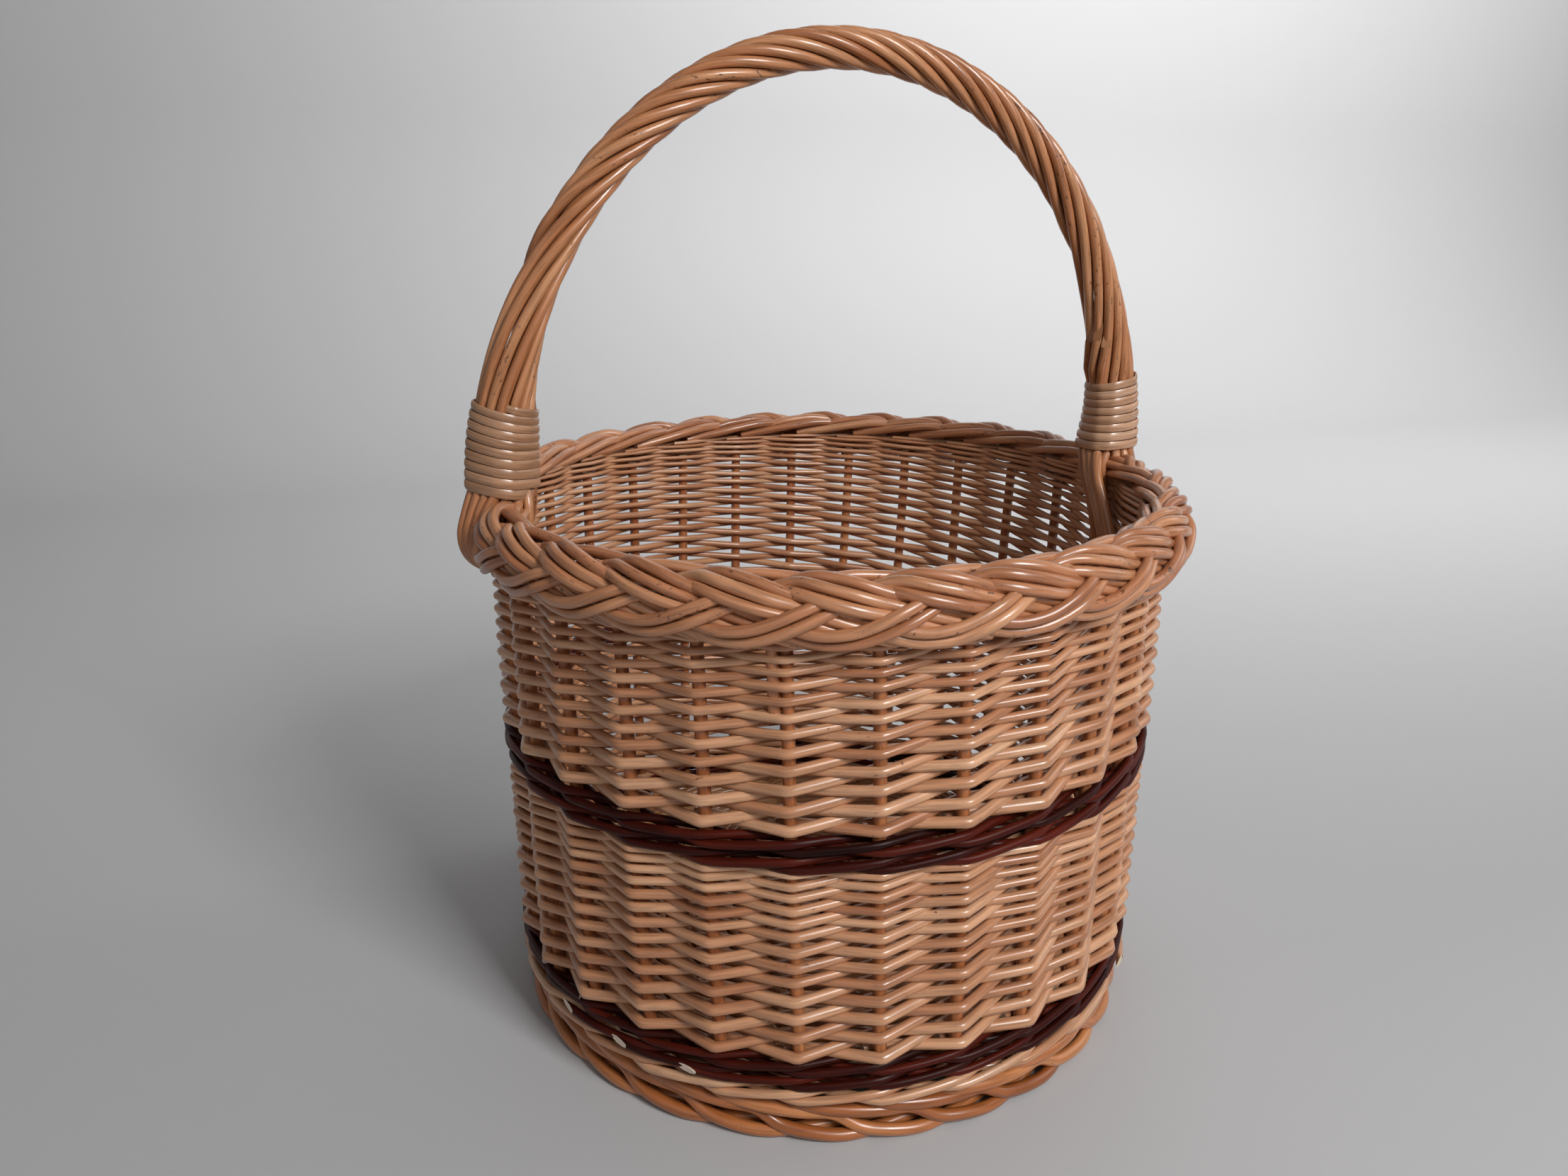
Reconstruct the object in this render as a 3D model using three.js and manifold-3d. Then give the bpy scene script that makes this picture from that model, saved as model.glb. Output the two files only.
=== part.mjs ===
// Round willow shopping basket with a fixed roped handle.
// Millimetres, +Z up, origin on the floor under the middle, handle in the XZ plane.
import * as THREE from "three";
import { mergeVertices } from "three/addons/utils/BufferGeometryUtils.js";
import Module from "manifold-3d";

// Rods
const BASE_STICKS = 7; // each gives two spokes, each spoke carries two stakes
const STICK_DIAMETER = 6;
const STAKE_DIAMETER = 4.7;
const WEAVER_DIAMETER = 3.8;

// Body, from the floor up
const WALL_RADIUS = 143.5; // centre line of the stakes
const FOOT_HEIGHT = 16;
const FOOT_WIDTH = 17;
const FOOT_INSET = 1.5; // the foot's fullest line, inside the wall's outer face
const FOOT_ROLL = 5.5; // how far the foot's outer side bulges
const BASE_COVER = 0.9; // weave above and below the base sticks
const SPOKE_COVER = 8; // weave past the ends of the base sticks
const SLATH_FLARE = 4; // a split stick closes up again over this length
const TAIL_LENGTH = 44; // of a stake beside its base stick
const UPSETT_COVER = 1; // weave above the bend of the stakes
const LOWER_WALE_HEIGHT = 14;
const LOWER_SIDING_HEIGHT = 86;
const MIDDLE_WALE_HEIGHT = 15;
const UPPER_SIDING_HEIGHT = 77;
const WALE_FULLNESS = 0.3; // a wale stands this much proud of the siding
const BORDER_HEIGHT = 26;
const BORDER_OVERHANG = 13.8; // past the outer face of the wall
const BORDER_INSET = 2; // inside the inner face of the wall
const BORDER_SHOULDER = 8; // the border's widest line above its lower edge
const BORDER_TUCK = 3; // how far the outer side draws in below that line
const STAKE_TUCK = 5; // of a stake's head in the border
const PLAIT_DEPTH = 3.5; // of the valleys between the border's strands
const PLAIT_CREST_DEPTH = 2; // of the valleys on the border's crest
const PLAIT_LAY = 1; // stakes that a strand passes from the crest to the middle of the outer face
const PLAIT_TAIL = 1.2; // stakes that a strand passes from the crest down the inner face

// Handle
const HANDLE_RISE = 177; // border crest to the middle of the bow at its top
const HANDLE_LEG = 17; // straight stretch above the crest
const HANDLE_LEAN = 1; // the handle's feet stand this far outside the stakes
const HANDLE_SWAY = 6; // the arch's top stands this far to the right of the middle
const BOW_DIAMETER = 7.6;
const BOW_STOP = 23; // the bow's pushed-down point above the middle wale
const BOW_HEAD = 10.5; // above the border's lower edge, where the bow starts to narrow
const HANDLE_ROD_DIAMETER = 4.4;
const HANDLE_TURNS = 3;
const OUTER_TUCK = 15; // outer handle rods end this far under the border
const INNER_TUCK = 46; // inner handle rods end this far under the border
const SPLAY = 4.6; // how far the rods part at the foot of the binding
const WRAP_DIAMETER = 3.5;
const WRAP_GAP = 0.7; // between one loop and the next
const LEFT_LOOPS = 10;
const RIGHT_LOOPS = 8;

// Fits
const CLEARANCE = 0.3;
const HANDLE_RODS = 8;
const SPLAY_ACROSS = 0.2; // share of the splay that shows across the handle
const FOOT_POINTS = 9; // points of a handle rod from its tucked end to the binding
const ARCH_STEPS = 32;
const LOOP_STEPS = 14;

// Sizes that follow from the ones above
const STAKES = 4 * BASE_STICKS;
const STAKE_TURN = (2 * Math.PI) / STAKES;
const WALL_OUTER = WALL_RADIUS + STAKE_DIAMETER / 2 + WEAVER_DIAMETER;
const WALL_INNER = WALL_RADIUS - STAKE_DIAMETER / 2 - WEAVER_DIAMETER;
const BASE_RADIUS = WALL_INNER - CLEARANCE;
const BASE_Z = FOOT_HEIGHT + CLEARANCE;
const BASE_THICKNESS = (STICK_DIAMETER + 2 * CLEARANCE) / Math.cos(Math.PI / 5) + 2 * BASE_COVER;
const STICK_Z = BASE_Z + BASE_THICKNESS / 2;
const STAKE_BEND = STAKE_DIAMETER; // radius at which a stake turns up
const UPSETT_TOP = STICK_Z + STAKE_BEND + UPSETT_COVER;
const LOWER_WALE_TOP = UPSETT_TOP + LOWER_WALE_HEIGHT;
const LOWER_SIDING_TOP = LOWER_WALE_TOP + LOWER_SIDING_HEIGHT;
const MIDDLE_WALE_TOP = LOWER_SIDING_TOP + MIDDLE_WALE_HEIGHT;
const UPPER_SIDING_TOP = MIDDLE_WALE_TOP + UPPER_SIDING_HEIGHT;
const BORDER_Z = UPPER_SIDING_TOP + CLEARANCE;
const CREST_Z = UPPER_SIDING_TOP + BORDER_HEIGHT;
const BORDER_OUTER = WALL_OUTER + BORDER_OVERHANG;
const BORDER_INNER = WALL_INNER + BORDER_INSET;
const BORDER_MIDDLE = (BORDER_OUTER + BORDER_INNER) / 2;
const BORDER_HALF = (BORDER_OUTER - BORDER_INNER) / 2;
const SHOULDER_Z = BORDER_Z + BORDER_SHOULDER;
const BORDER_RISE = CREST_Z - SHOULDER_Z;
const STAKE_TOP = BORDER_Z + STAKE_TUCK;
const HANDLE_REACH = WALL_RADIUS + HANDLE_LEAN;
const BOW_BESIDE_STAKE = BOW_DIAMETER / 2 + STAKE_DIAMETER / 2 + 3 * CLEARANCE;
const STAKE_OFFSET = Math.asin(BOW_BESIDE_STAKE / WALL_RADIUS);
const WRAP_PITCH = WRAP_DIAMETER + WRAP_GAP;

const COLOURS = {
  base: "#b98a5e",
  siding: "#c08c60",
  stake: "#a96c42",
  wale: "#3b1d16",
  foot: "#c27d49",
  border: "#b77e58",
  handle: "#bb7c4f",
  skein: "#ad9072",
};

const kernel = await Module();
kernel.setup();
const { Manifold, Mesh } = kernel;

const group = new THREE.Group();
group.name = "wicker_basket";

function add(name, geometry, colour) {
  const material = new THREE.MeshStandardMaterial({ color: colour, roughness: 0.55, metalness: 0 });
  const mesh = new THREE.Mesh(geometry, material);
  mesh.name = name;
  group.add(mesh);
}

function toSolid(geometry) {
  const bare = geometry.clone();
  bare.deleteAttribute("normal");
  bare.deleteAttribute("uv");
  const welded = mergeVertices(bare, 1e-4);
  return new Manifold(
    new Mesh({
      numProp: 3,
      vertProperties: new Float32Array(welded.attributes.position.array),
      triVerts: new Uint32Array(welded.index.array),
    }),
  );
}

function toGeometry(solid) {
  const { vertProperties, triVerts } = solid.getMesh();
  const geometry = new THREE.BufferGeometry();
  geometry.setAttribute("position", new THREE.BufferAttribute(vertProperties, 3));
  geometry.setIndex(new THREE.BufferAttribute(triVerts, 1));
  geometry.computeVertexNormals();
  return geometry;
}

const join = (geometries) => Manifold.union(geometries.map(toSolid));

// A curve that stops exactly at the points given.
class Route extends THREE.Curve {
  constructor(points) {
    super();
    this.points = points;
  }
  index(u) {
    return Math.round(u * (this.points.length - 1));
  }
  getPoint(u) {
    return this.points[this.index(u)].clone();
  }
  getPointAt(u) {
    return this.getPoint(u);
  }
  getTangentAt(u) {
    const i = this.index(u);
    const here = this.points[i];
    const before = this.points[Math.max(i - 1, 0)];
    const after = this.points[Math.min(i + 1, this.points.length - 1)];
    const arriving = here.clone().sub(before).normalize();
    const leaving = after.clone().sub(here).normalize();
    return arriving.add(leaving).normalize();
  }
}

function polar(radius, angle, z) {
  return new THREE.Vector3(radius * Math.cos(angle), radius * Math.sin(angle), z);
}

function polygon(radius, sides, centre = new THREE.Vector2(), turn = 0) {
  return Array.from({ length: sides }, (_, i) => {
    const angle = turn + (2 * Math.PI * i) / sides;
    return new THREE.Vector2(centre.x + radius * Math.cos(angle), centre.y + radius * Math.sin(angle));
  });
}

function rod(points, diameter, sides = 6) {
  const section = new THREE.Shape(polygon(diameter / 2, sides));
  return new THREE.ExtrudeGeometry(section, { steps: points.length - 1, extrudePath: new Route(points) });
}

// A rod's clearance copy, wide enough whichever way its flats turn.
function swollen(points, diameter, sides = 6) {
  return rod(points, (diameter + 2 * CLEARANCE) / Math.cos(Math.PI / sides), sides);
}

function between(from, to, steps) {
  return Array.from({ length: steps + 1 }, (_, i) => from + ((to - from) * i) / steps);
}

function turned(profile, segments) {
  const points = profile.map(([r, z]) => new THREE.Vector2(r, z));
  points.push(points[0].clone());
  return new THREE.LatheGeometry(points, segments).rotateX(Math.PI / 2);
}

function upright(shape, bottom, top) {
  const raised = new THREE.ExtrudeGeometry(shape, { depth: top - bottom, bevelEnabled: false });
  return raised.translate(0, 0, bottom);
}

const stakeAngle = (i) => STAKE_OFFSET + i * STAKE_TURN;

// Outline that stands at one radius on the stakes and at another between them.
function waved(onStake, between) {
  return Array.from({ length: 2 * STAKES }, (_, i) => {
    const radius = i % 2 ? between : onStake;
    const angle = stakeAngle(i / 2);
    return new THREE.Vector2(radius * Math.cos(angle), radius * Math.sin(angle));
  });
}

function wovenRing(outer, inner, bottom, top) {
  const shape = new THREE.Shape(outer);
  shape.holes.push(new THREE.Path(inner));
  const holeRadius = (STAKE_DIAMETER / 2 + CLEARANCE) / Math.cos(Math.PI / 5);
  for (let i = 0; i < STAKES; i += 1) {
    const at = polar(WALL_RADIUS, stakeAngle(i), 0);
    shape.holes.push(new THREE.Path(polygon(holeRadius, 5, at, stakeAngle(i))));
  }
  return upright(shape, bottom, top);
}

// Ring of strands laid across a section: each strand is a ridge, drawn in on both sides. A row of the
// section gives its place, full or drawn in, and how many stakes the strands have passed by it.
function plaited(rows) {
  const columns = 2 * STAKES;
  const positions = [];
  for (let i = 0; i < columns; i += 1) {
    for (const row of rows) {
      const [radius, z] = row.at(i % 2);
      positions.push(...polar(radius, stakeAngle(i / 2 + row.lay), z).toArray());
    }
  }
  const faces = [];
  for (let i = 0; i < columns; i += 1) {
    for (let j = 0; j < rows.length; j += 1) {
      const up = (j + 1) % rows.length;
      const next = ((i + 1) % columns) * rows.length;
      const [a, b, c, d] = [i * rows.length + j, i * rows.length + up, next + j, next + up];
      faces.push(...(rows[up].lay > rows[j].lay ? [a, c, b, c, d, b] : [a, c, d, a, d, b]));
    }
  }
  const ring = new THREE.BufferGeometry();
  ring.setAttribute("position", new THREE.Float32BufferAttribute(positions, 3));
  ring.setIndex(faces);
  return ring;
}

// Base: sticks crossed at the middle, the upright set split round the level set
const SPOKE_TURN = 2 * STAKE_TURN;
const BASE_TURN = STAKE_OFFSET - STAKE_TURN / 2;
const STICK_PITCH = STICK_DIAMETER + 2 * CLEARANCE;
const LEVEL_STICKS = Math.ceil(BASE_STICKS / 2);
const SPLIT_STICKS = BASE_STICKS - LEVEL_STICKS;
const SPOKE_END = BASE_RADIUS - SPOKE_COVER;
const SLATH_HALF = (STICK_PITCH * LEVEL_STICKS) / 2;
const SLATH_HOLE = 2 * SLATH_HALF;

const UP = new THREE.Vector3(0, 0, 1);
const inBase = (x, y) => new THREE.Vector3(x, y, STICK_Z).applyAxisAngle(UP, BASE_TURN);
const spokes = [];

// One end of a stick, from the slath out along its spoke.
function spoke(x, y, angle) {
  spokes.push(angle + BASE_TURN);
  const bend = 1.5 * SLATH_HOLE;
  return [
    inBase(x, y),
    inBase(bend * Math.cos(angle), bend * Math.sin(angle)),
    inBase(SPOKE_END * Math.cos(angle), SPOKE_END * Math.sin(angle)),
  ];
}

const stickRoutes = [];
for (let i = 0; i < LEVEL_STICKS; i += 1) {
  const place = i - (LEVEL_STICKS - 1) / 2;
  const reach = (STICK_PITCH * SPLIT_STICKS) / 2 + SLATH_FLARE;
  const right = spoke(reach, place * STICK_PITCH, place * SPOKE_TURN);
  const left = spoke(-reach, place * STICK_PITCH, Math.PI - place * SPOKE_TURN);
  const route = [...left.reverse(), ...right];
  stickRoutes.push(route);
  add(`base_stick_${i + 1}`, rod(route, STICK_DIAMETER), COLOURS.base);
}

const splitHalf = STICK_DIAMETER / 2 - CLEARANCE;
const slot = STICK_DIAMETER / 2 + CLEARANCE;
const bulge = slot + splitHalf;
const SPLICE = 1; // overlap of a spoke with the split middle that it grows out of
for (let i = 0; i < SPLIT_STICKS; i += 1) {
  const place = i - (SPLIT_STICKS - 1) / 2;
  const reach = SLATH_HALF + SLATH_FLARE;
  const side = new THREE.Shape([
    new THREE.Vector2(-reach, -STICK_DIAMETER / 2),
    new THREE.Vector2(-SLATH_HALF, -bulge),
    new THREE.Vector2(SLATH_HALF, -bulge),
    new THREE.Vector2(reach, -STICK_DIAMETER / 2),
    new THREE.Vector2(reach, STICK_DIAMETER / 2),
    new THREE.Vector2(SLATH_HALF, bulge),
    new THREE.Vector2(-SLATH_HALF, bulge),
    new THREE.Vector2(-reach, STICK_DIAMETER / 2),
  ]);
  side.holes.push(
    new THREE.Path([
      new THREE.Vector2(-SLATH_HALF, -slot),
      new THREE.Vector2(SLATH_HALF, -slot),
      new THREE.Vector2(SLATH_HALF, slot),
      new THREE.Vector2(-SLATH_HALF, slot),
    ]),
  );
  const width = STICK_DIAMETER - CLEARANCE;
  const split = new THREE.ExtrudeGeometry(side, { depth: width, bevelEnabled: false })
    .translate(0, 0, -width / 2)
    .rotateX(Math.PI / 2)
    .rotateZ(Math.PI / 2)
    .translate(place * STICK_PITCH, 0, STICK_Z)
    .rotateZ(BASE_TURN);
  const far = spoke(place * STICK_PITCH, reach - SPLICE, Math.PI / 2 - place * SPOKE_TURN);
  const near = spoke(place * STICK_PITCH, SPLICE - reach, place * SPOKE_TURN - Math.PI / 2);
  stickRoutes.push(far, near);
  const whole = join([split, rod(far, STICK_DIAMETER), rod(near, STICK_DIAMETER)]);
  add(`base_stick_${LEVEL_STICKS + i + 1}`, toGeometry(whole), COLOURS.base);
}

// Stakes: tail beside a spoke in the base, then pricked up into the wall
const TAIL_REACH = BASE_RADIUS - TAIL_LENGTH;
const TAIL_ASIDE = STICK_DIAMETER / 2 + STAKE_DIAMETER / 2 + 8 * CLEARANCE;
const TAIL_BEND = 0.3; // share of the bend's radius at the middle of the bend
const tailRoutes = [];
for (const spokeAngle of spokes) {
  for (const sign of [-1, 1]) {
    const angle = spokeAngle + (sign * STAKE_TURN) / 2;
    const index = (Math.round((angle - STAKE_OFFSET) / STAKE_TURN) + 2 * STAKES) % STAKES;
    const tail = polar(TAIL_REACH, spokeAngle + (sign * TAIL_ASIDE) / TAIL_REACH, STICK_Z);
    const edge = polar(BASE_RADIUS - STAKE_DIAMETER / 2, angle, STICK_Z);
    const route = [
      tail,
      edge,
      polar(WALL_RADIUS - STAKE_BEND, angle, STICK_Z),
      polar(WALL_RADIUS - TAIL_BEND * STAKE_BEND, angle, STICK_Z + TAIL_BEND * STAKE_BEND),
      polar(WALL_RADIUS, angle, STICK_Z + STAKE_BEND),
      polar(WALL_RADIUS, angle, STAKE_TOP),
    ];
    const inward = tail.clone().sub(edge).setLength(3 * CLEARANCE).add(tail);
    tailRoutes.push([inward, edge, polar(WALL_RADIUS + STAKE_BEND, angle, STICK_Z)]);
    add(`stake_${String(index + 1).padStart(2, "0")}`, rod(route, STAKE_DIAMETER, 5), COLOURS.stake);
  }
}

const baseDisc = turned(
  [
    [SLATH_HOLE, BASE_Z],
    [BASE_RADIUS, BASE_Z],
    [BASE_RADIUS, BASE_Z + BASE_THICKNESS],
    [SLATH_HOLE, BASE_Z + BASE_THICKNESS],
  ],
  STAKES,
);
const stickRoom = join(stickRoutes.map((route) => swollen(route, STICK_DIAMETER, 5)));
const tailRoom = join(tailRoutes.map((route) => swollen(route, STAKE_DIAMETER, 4)));
add("base_weave", toGeometry(toSolid(baseDisc).subtract(stickRoom).subtract(tailRoom)), COLOURS.base);

// Foot border under the edge of the base
const FOOT_OUTER = WALL_OUTER - FOOT_INSET;
const FOOT_INNER = FOOT_OUTER - FOOT_WIDTH;
const footRoll = between(0, Math.PI, 4).map((angle) => [
  FOOT_OUTER - FOOT_ROLL * (1 - Math.sin(angle)),
  (FOOT_HEIGHT * (1 - Math.cos(angle))) / 2,
]);
add(
  "foot_border",
  turned([[FOOT_INNER, 0], ...footRoll, [FOOT_INNER, FOOT_HEIGHT]], 1.5 * STAKES),
  COLOURS.foot,
);

// Upsett wale: slotted on the inside where each stake comes out of the base and turns up
const slotHalf = STAKE_DIAMETER / 2 + CLEARANCE;
const slotEnd = WALL_RADIUS + slotHalf;
const combInner = WALL_INNER / Math.cos(STAKE_TURN / 2);
const comb = [];
for (let i = 0; i < STAKES; i += 1) {
  const angle = stakeAngle(i);
  const at = (along, across) =>
    new THREE.Vector2(along, across).rotateAround(new THREE.Vector2(), angle);
  comb.push(at(combInner, -slotHalf), at(slotEnd, -slotHalf));
  comb.push(at(slotEnd, slotHalf), at(combInner, slotHalf));
}
const upsett = new THREE.Shape(waved(WALL_OUTER, WALL_OUTER - WALE_FULLNESS));
upsett.holes.push(new THREE.Path(comb));
add("upsett_wale", upright(upsett, BASE_Z, UPSETT_TOP), COLOURS.siding);

// Wall bands, bottom to top
const WEAVE_HALF = WEAVER_DIAMETER / 2; // of the siding's thickness midway between stakes
const onStakes = (_, i) => i % 2 === 0;
const betweenStakes = (_, i) => i % 2 === 1;
const waleOuter = waved(WALL_OUTER + WALE_FULLNESS, WALL_OUTER).filter(onStakes);
const waleInner = waved(WALL_INNER, WALL_INNER + WEAVER_DIAMETER / 2).filter(betweenStakes);
const sidingOuter = waved(WALL_OUTER, WALL_RADIUS + WEAVE_HALF);
const sidingInner = waved(WALL_INNER, WALL_RADIUS - WEAVE_HALF);

const wale = (bottom, top) => wovenRing(waleOuter, waleInner, bottom + CLEARANCE, top);
const siding = (bottom, top) => wovenRing(sidingOuter, sidingInner, bottom + CLEARANCE, top);
add("lower_wale", wale(UPSETT_TOP, LOWER_WALE_TOP), COLOURS.wale);
add("lower_siding", siding(LOWER_WALE_TOP, LOWER_SIDING_TOP), COLOURS.siding);
add("middle_wale", wale(LOWER_SIDING_TOP, MIDDLE_WALE_TOP), COLOURS.wale);

// Handle line: a straight leg, half an ellipse, a straight leg, all of it leaning to the right
const ARCH_HEIGHT = HANDLE_RISE - HANDLE_LEG;
const LEG_SHARE = HANDLE_LEG / (Math.PI * HANDLE_REACH + 2 * HANDLE_LEG);

class HandleLine extends THREE.Curve {
  getPoint(t) {
    const share = (t - LEG_SHARE) / (1 - 2 * LEG_SHARE);
    const angle = Math.PI * (1 - Math.min(1, Math.max(0, share)));
    const leg = (HANDLE_LEG * Math.min(t, 1 - t, LEG_SHARE)) / LEG_SHARE;
    const rise = (leg + ARCH_HEIGHT * Math.sin(angle)) / HANDLE_RISE;
    const sway = HANDLE_SWAY * rise * (2 - rise);
    return new THREE.Vector3(HANDLE_REACH * Math.cos(angle) + sway, 0, CREST_Z + HANDLE_RISE * rise);
  }
}

const handleLine = new HandleLine();
const HANDLE_LENGTH = handleLine.getLength();

// A place round the handle: along it, then out from it and across it.
function round(along, out, across) {
  const u = along / HANDLE_LENGTH;
  const tangent = handleLine.getTangentAt(u);
  const outward = new THREE.Vector3(-tangent.z, 0, tangent.x);
  return handleLine.getPointAt(u).addScaledVector(outward, out).add(new THREE.Vector3(0, across, 0));
}

// Bindings reach from just above the crest to these lengths along the handle
const BINDING_START = HANDLE_ROD_DIAMETER;
const leftTop = BINDING_START + LEFT_LOOPS * WRAP_PITCH + WRAP_DIAMETER;
const rightTop = HANDLE_LENGTH - BINDING_START - RIGHT_LOOPS * WRAP_PITCH - WRAP_DIAMETER;

// Handle rods lie round the bow, far enough out that a turn's chords clear it and each other
const stepTurn = (2 * Math.PI * HANDLE_TURNS) / ARCH_STEPS;
const lay = Math.atan((2 * Math.PI * HANDLE_TURNS * BOW_DIAMETER) / HANDLE_LENGTH);
const clearOfBow = BOW_DIAMETER / 2 + HANDLE_ROD_DIAMETER / 2 + CLEARANCE;
const rodAcross = HANDLE_ROD_DIAMETER / Math.cos(lay) + CLEARANCE;
const clearOfRods = rodAcross / (2 * Math.sin(Math.PI / HANDLE_RODS));
const RING = Math.max(clearOfBow, clearOfRods) / Math.cos(stepTurn / 2);

const splayAt = (along) => {
  const left = (leftTop - along) / (leftTop - BINDING_START);
  const right = (along - rightTop) / (HANDLE_LENGTH - BINDING_START - rightTop);
  return SPLAY * Math.max(0, left, right);
};

const stations = [
  ...between(BINDING_START - 1, leftTop, 3).slice(0, -1),
  ...between(leftTop, rightTop, ARCH_STEPS),
  ...between(rightTop, HANDLE_LENGTH - BINDING_START + 1, 3).slice(1),
];

function twist(along) {
  const share = (along - leftTop) / (rightTop - leftTop);
  return 2 * Math.PI * HANDLE_TURNS * Math.min(1, Math.max(0, share));
}

// Below the binding the outer rods pass outside the border and tuck in under it, the inner ones run
// down the inside of the wall and tuck in there.
const FOOT_FAN = 1.2; // the rods fan out sideways by this factor below the binding
function foot(side, out, across) {
  const half = HANDLE_ROD_DIAMETER / 2;
  const at = (x, z) => new THREE.Vector3(side * x, FOOT_FAN * across, z);
  if (out > 0) {
    const room = half + 3 * CLEARANCE;
    const over = (angle) => {
      const x = BORDER_MIDDLE + (BORDER_HALF + room) * Math.cos(angle);
      return at(x, SHOULDER_Z + (BORDER_RISE + room) * Math.sin(angle));
    };
    const skim = BORDER_OUTER + half + CLEARANCE;
    return [
      over(Math.PI / 3),
      over(Math.PI / 6),
      over(Math.PI / 18),
      at(skim, SHOULDER_Z),
      at(skim - BORDER_TUCK, BORDER_Z - half - CLEARANCE),
      at(WALL_OUTER + half, BORDER_Z - OUTER_TUCK / 2),
      at(WALL_OUTER + half / 2, BORDER_Z - OUTER_TUCK),
    ];
  }
  const skim = WALL_INNER - half - CLEARANCE;
  return [
    at((HANDLE_REACH + out + skim + half) / 2, CREST_Z - half / 2),
    at(skim, (CREST_Z + BORDER_Z) / 2),
    at(skim, BORDER_Z - INNER_TUCK / 2),
    at(WALL_INNER + half / 2, BORDER_Z - (3 * INNER_TUCK) / 4),
    at(WALL_INNER + half / 2, BORDER_Z - INNER_TUCK),
  ];
}

// Where a rod lies across the handle at an angle round it, the bundle splayed by so much.
function onRing(angle, splay) {
  return [(RING + splay) * Math.cos(angle), -(RING + SPLAY_ACROSS * splay) * Math.sin(angle)];
}

const rodRoutes = between(0.5, HANDLE_RODS - 0.5, HANDLE_RODS - 1).map((place) => {
  const start = (2 * Math.PI * place) / HANDLE_RODS;
  const end = start + twist(HANDLE_LENGTH);
  const middle = stations.map((along) => round(along, ...onRing(start + twist(along), splayAt(along))));
  return [...foot(-1, ...onRing(start, SPLAY)).reverse(), ...middle, ...foot(1, ...onRing(end, SPLAY))];
});
rodRoutes.forEach((route, i) => {
  add(`handle_rod_${i + 1}`, rod(route, HANDLE_ROD_DIAMETER, 5), COLOURS.handle);
});

// Bow: the core of the handle, each end pointed and pushed down through the border into the siding
const bowEnd = BORDER_Z + BOW_HEAD;
const bowFoot = (side) => [
  new THREE.Vector3(side * (WALL_RADIUS + HANDLE_LEAN / 2), 0, (CREST_Z + bowEnd) / 2),
  new THREE.Vector3(side * WALL_RADIUS, 0, bowEnd),
];
const bowRoute = [
  ...bowFoot(-1).reverse(),
  ...between(0, HANDLE_LENGTH, ARCH_STEPS).map((along) => round(along, 0, 0)),
  ...bowFoot(1),
];
const tailBottom = MIDDLE_WALE_TOP + BOW_STOP;
const bowTail = (side, extra) =>
  turned(
    [
      [0, tailBottom - extra],
      [BOW_DIAMETER / 6 + extra, tailBottom - extra],
      [BOW_DIAMETER / 3 + extra, BORDER_Z],
      [BOW_DIAMETER / 2 - CLEARANCE / 4 + extra, bowEnd + CLEARANCE],
      [0, bowEnd + CLEARANCE],
    ],
    8,
  ).translate(side * WALL_RADIUS, 0, 0);
const bowParts = [rod(bowRoute, BOW_DIAMETER, 6), bowTail(-1, 0), bowTail(1, 0)];
add("handle_bow", toGeometry(join(bowParts)), COLOURS.handle);

// Upper siding and border, cleared for what is pushed into them
const rodFeet = rodRoutes.flatMap((route) => [route.slice(0, FOOT_POINTS), route.slice(-FOOT_POINTS)]);
const rodRoom = join(rodFeet.map((route) => swollen(route, HANDLE_ROD_DIAMETER, 5)));
const tailGap = 1.5 * CLEARANCE;
const bowRoom = join([swollen(bowRoute, BOW_DIAMETER, 6), bowTail(-1, tailGap), bowTail(1, tailGap)]);
const upperSiding = toSolid(siding(MIDDLE_WALE_TOP, UPPER_SIDING_TOP)).subtract(rodRoom).subtract(bowRoom);
add("upper_siding", toGeometry(upperSiding), COLOURS.siding);

const plaitTurn = Math.PI / 6; // where the outer strands turn back, up from the border's widest line
const borderRow = (angle, lay, depth) => ({
  at: (drawn) => [
    BORDER_MIDDLE + (BORDER_HALF - drawn * depth) * Math.cos(angle),
    SHOULDER_Z + (BORDER_RISE - drawn * depth) * Math.sin(angle),
  ],
  lay,
});
const borderFoot = (radius, lay) => ({ at: () => [radius, BORDER_Z], lay });
const borderRing = plaited([
  borderFoot(BORDER_INNER, PLAIT_TAIL),
  borderFoot(BORDER_OUTER - BORDER_TUCK, 0),
  borderRow(0, PLAIT_LAY / 2, PLAIT_DEPTH),
  borderRow(plaitTurn, PLAIT_LAY, PLAIT_DEPTH),
  borderRow(2 * plaitTurn, PLAIT_LAY / 2, PLAIT_DEPTH),
  borderRow(3 * plaitTurn, 0, PLAIT_CREST_DEPTH),
  borderRow(4 * plaitTurn, PLAIT_TAIL / 3, PLAIT_CREST_DEPTH),
  borderRow(5 * plaitTurn, (2 * PLAIT_TAIL) / 3, PLAIT_CREST_DEPTH),
  borderRow(6 * plaitTurn, PLAIT_TAIL, PLAIT_CREST_DEPTH / 2),
]);
const stakeRoom = join(
  Array.from({ length: STAKES }, (_, i) => {
    const foot = polar(WALL_RADIUS, stakeAngle(i), BORDER_Z - CLEARANCE);
    const head = polar(WALL_RADIUS, stakeAngle(i), STAKE_TOP + CLEARANCE);
    return swollen([foot, head], STAKE_DIAMETER, 4);
  }),
);
add("rim_border", toGeometry(toSolid(borderRing).subtract(stakeRoom).subtract(bowRoom)), COLOURS.border);

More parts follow.
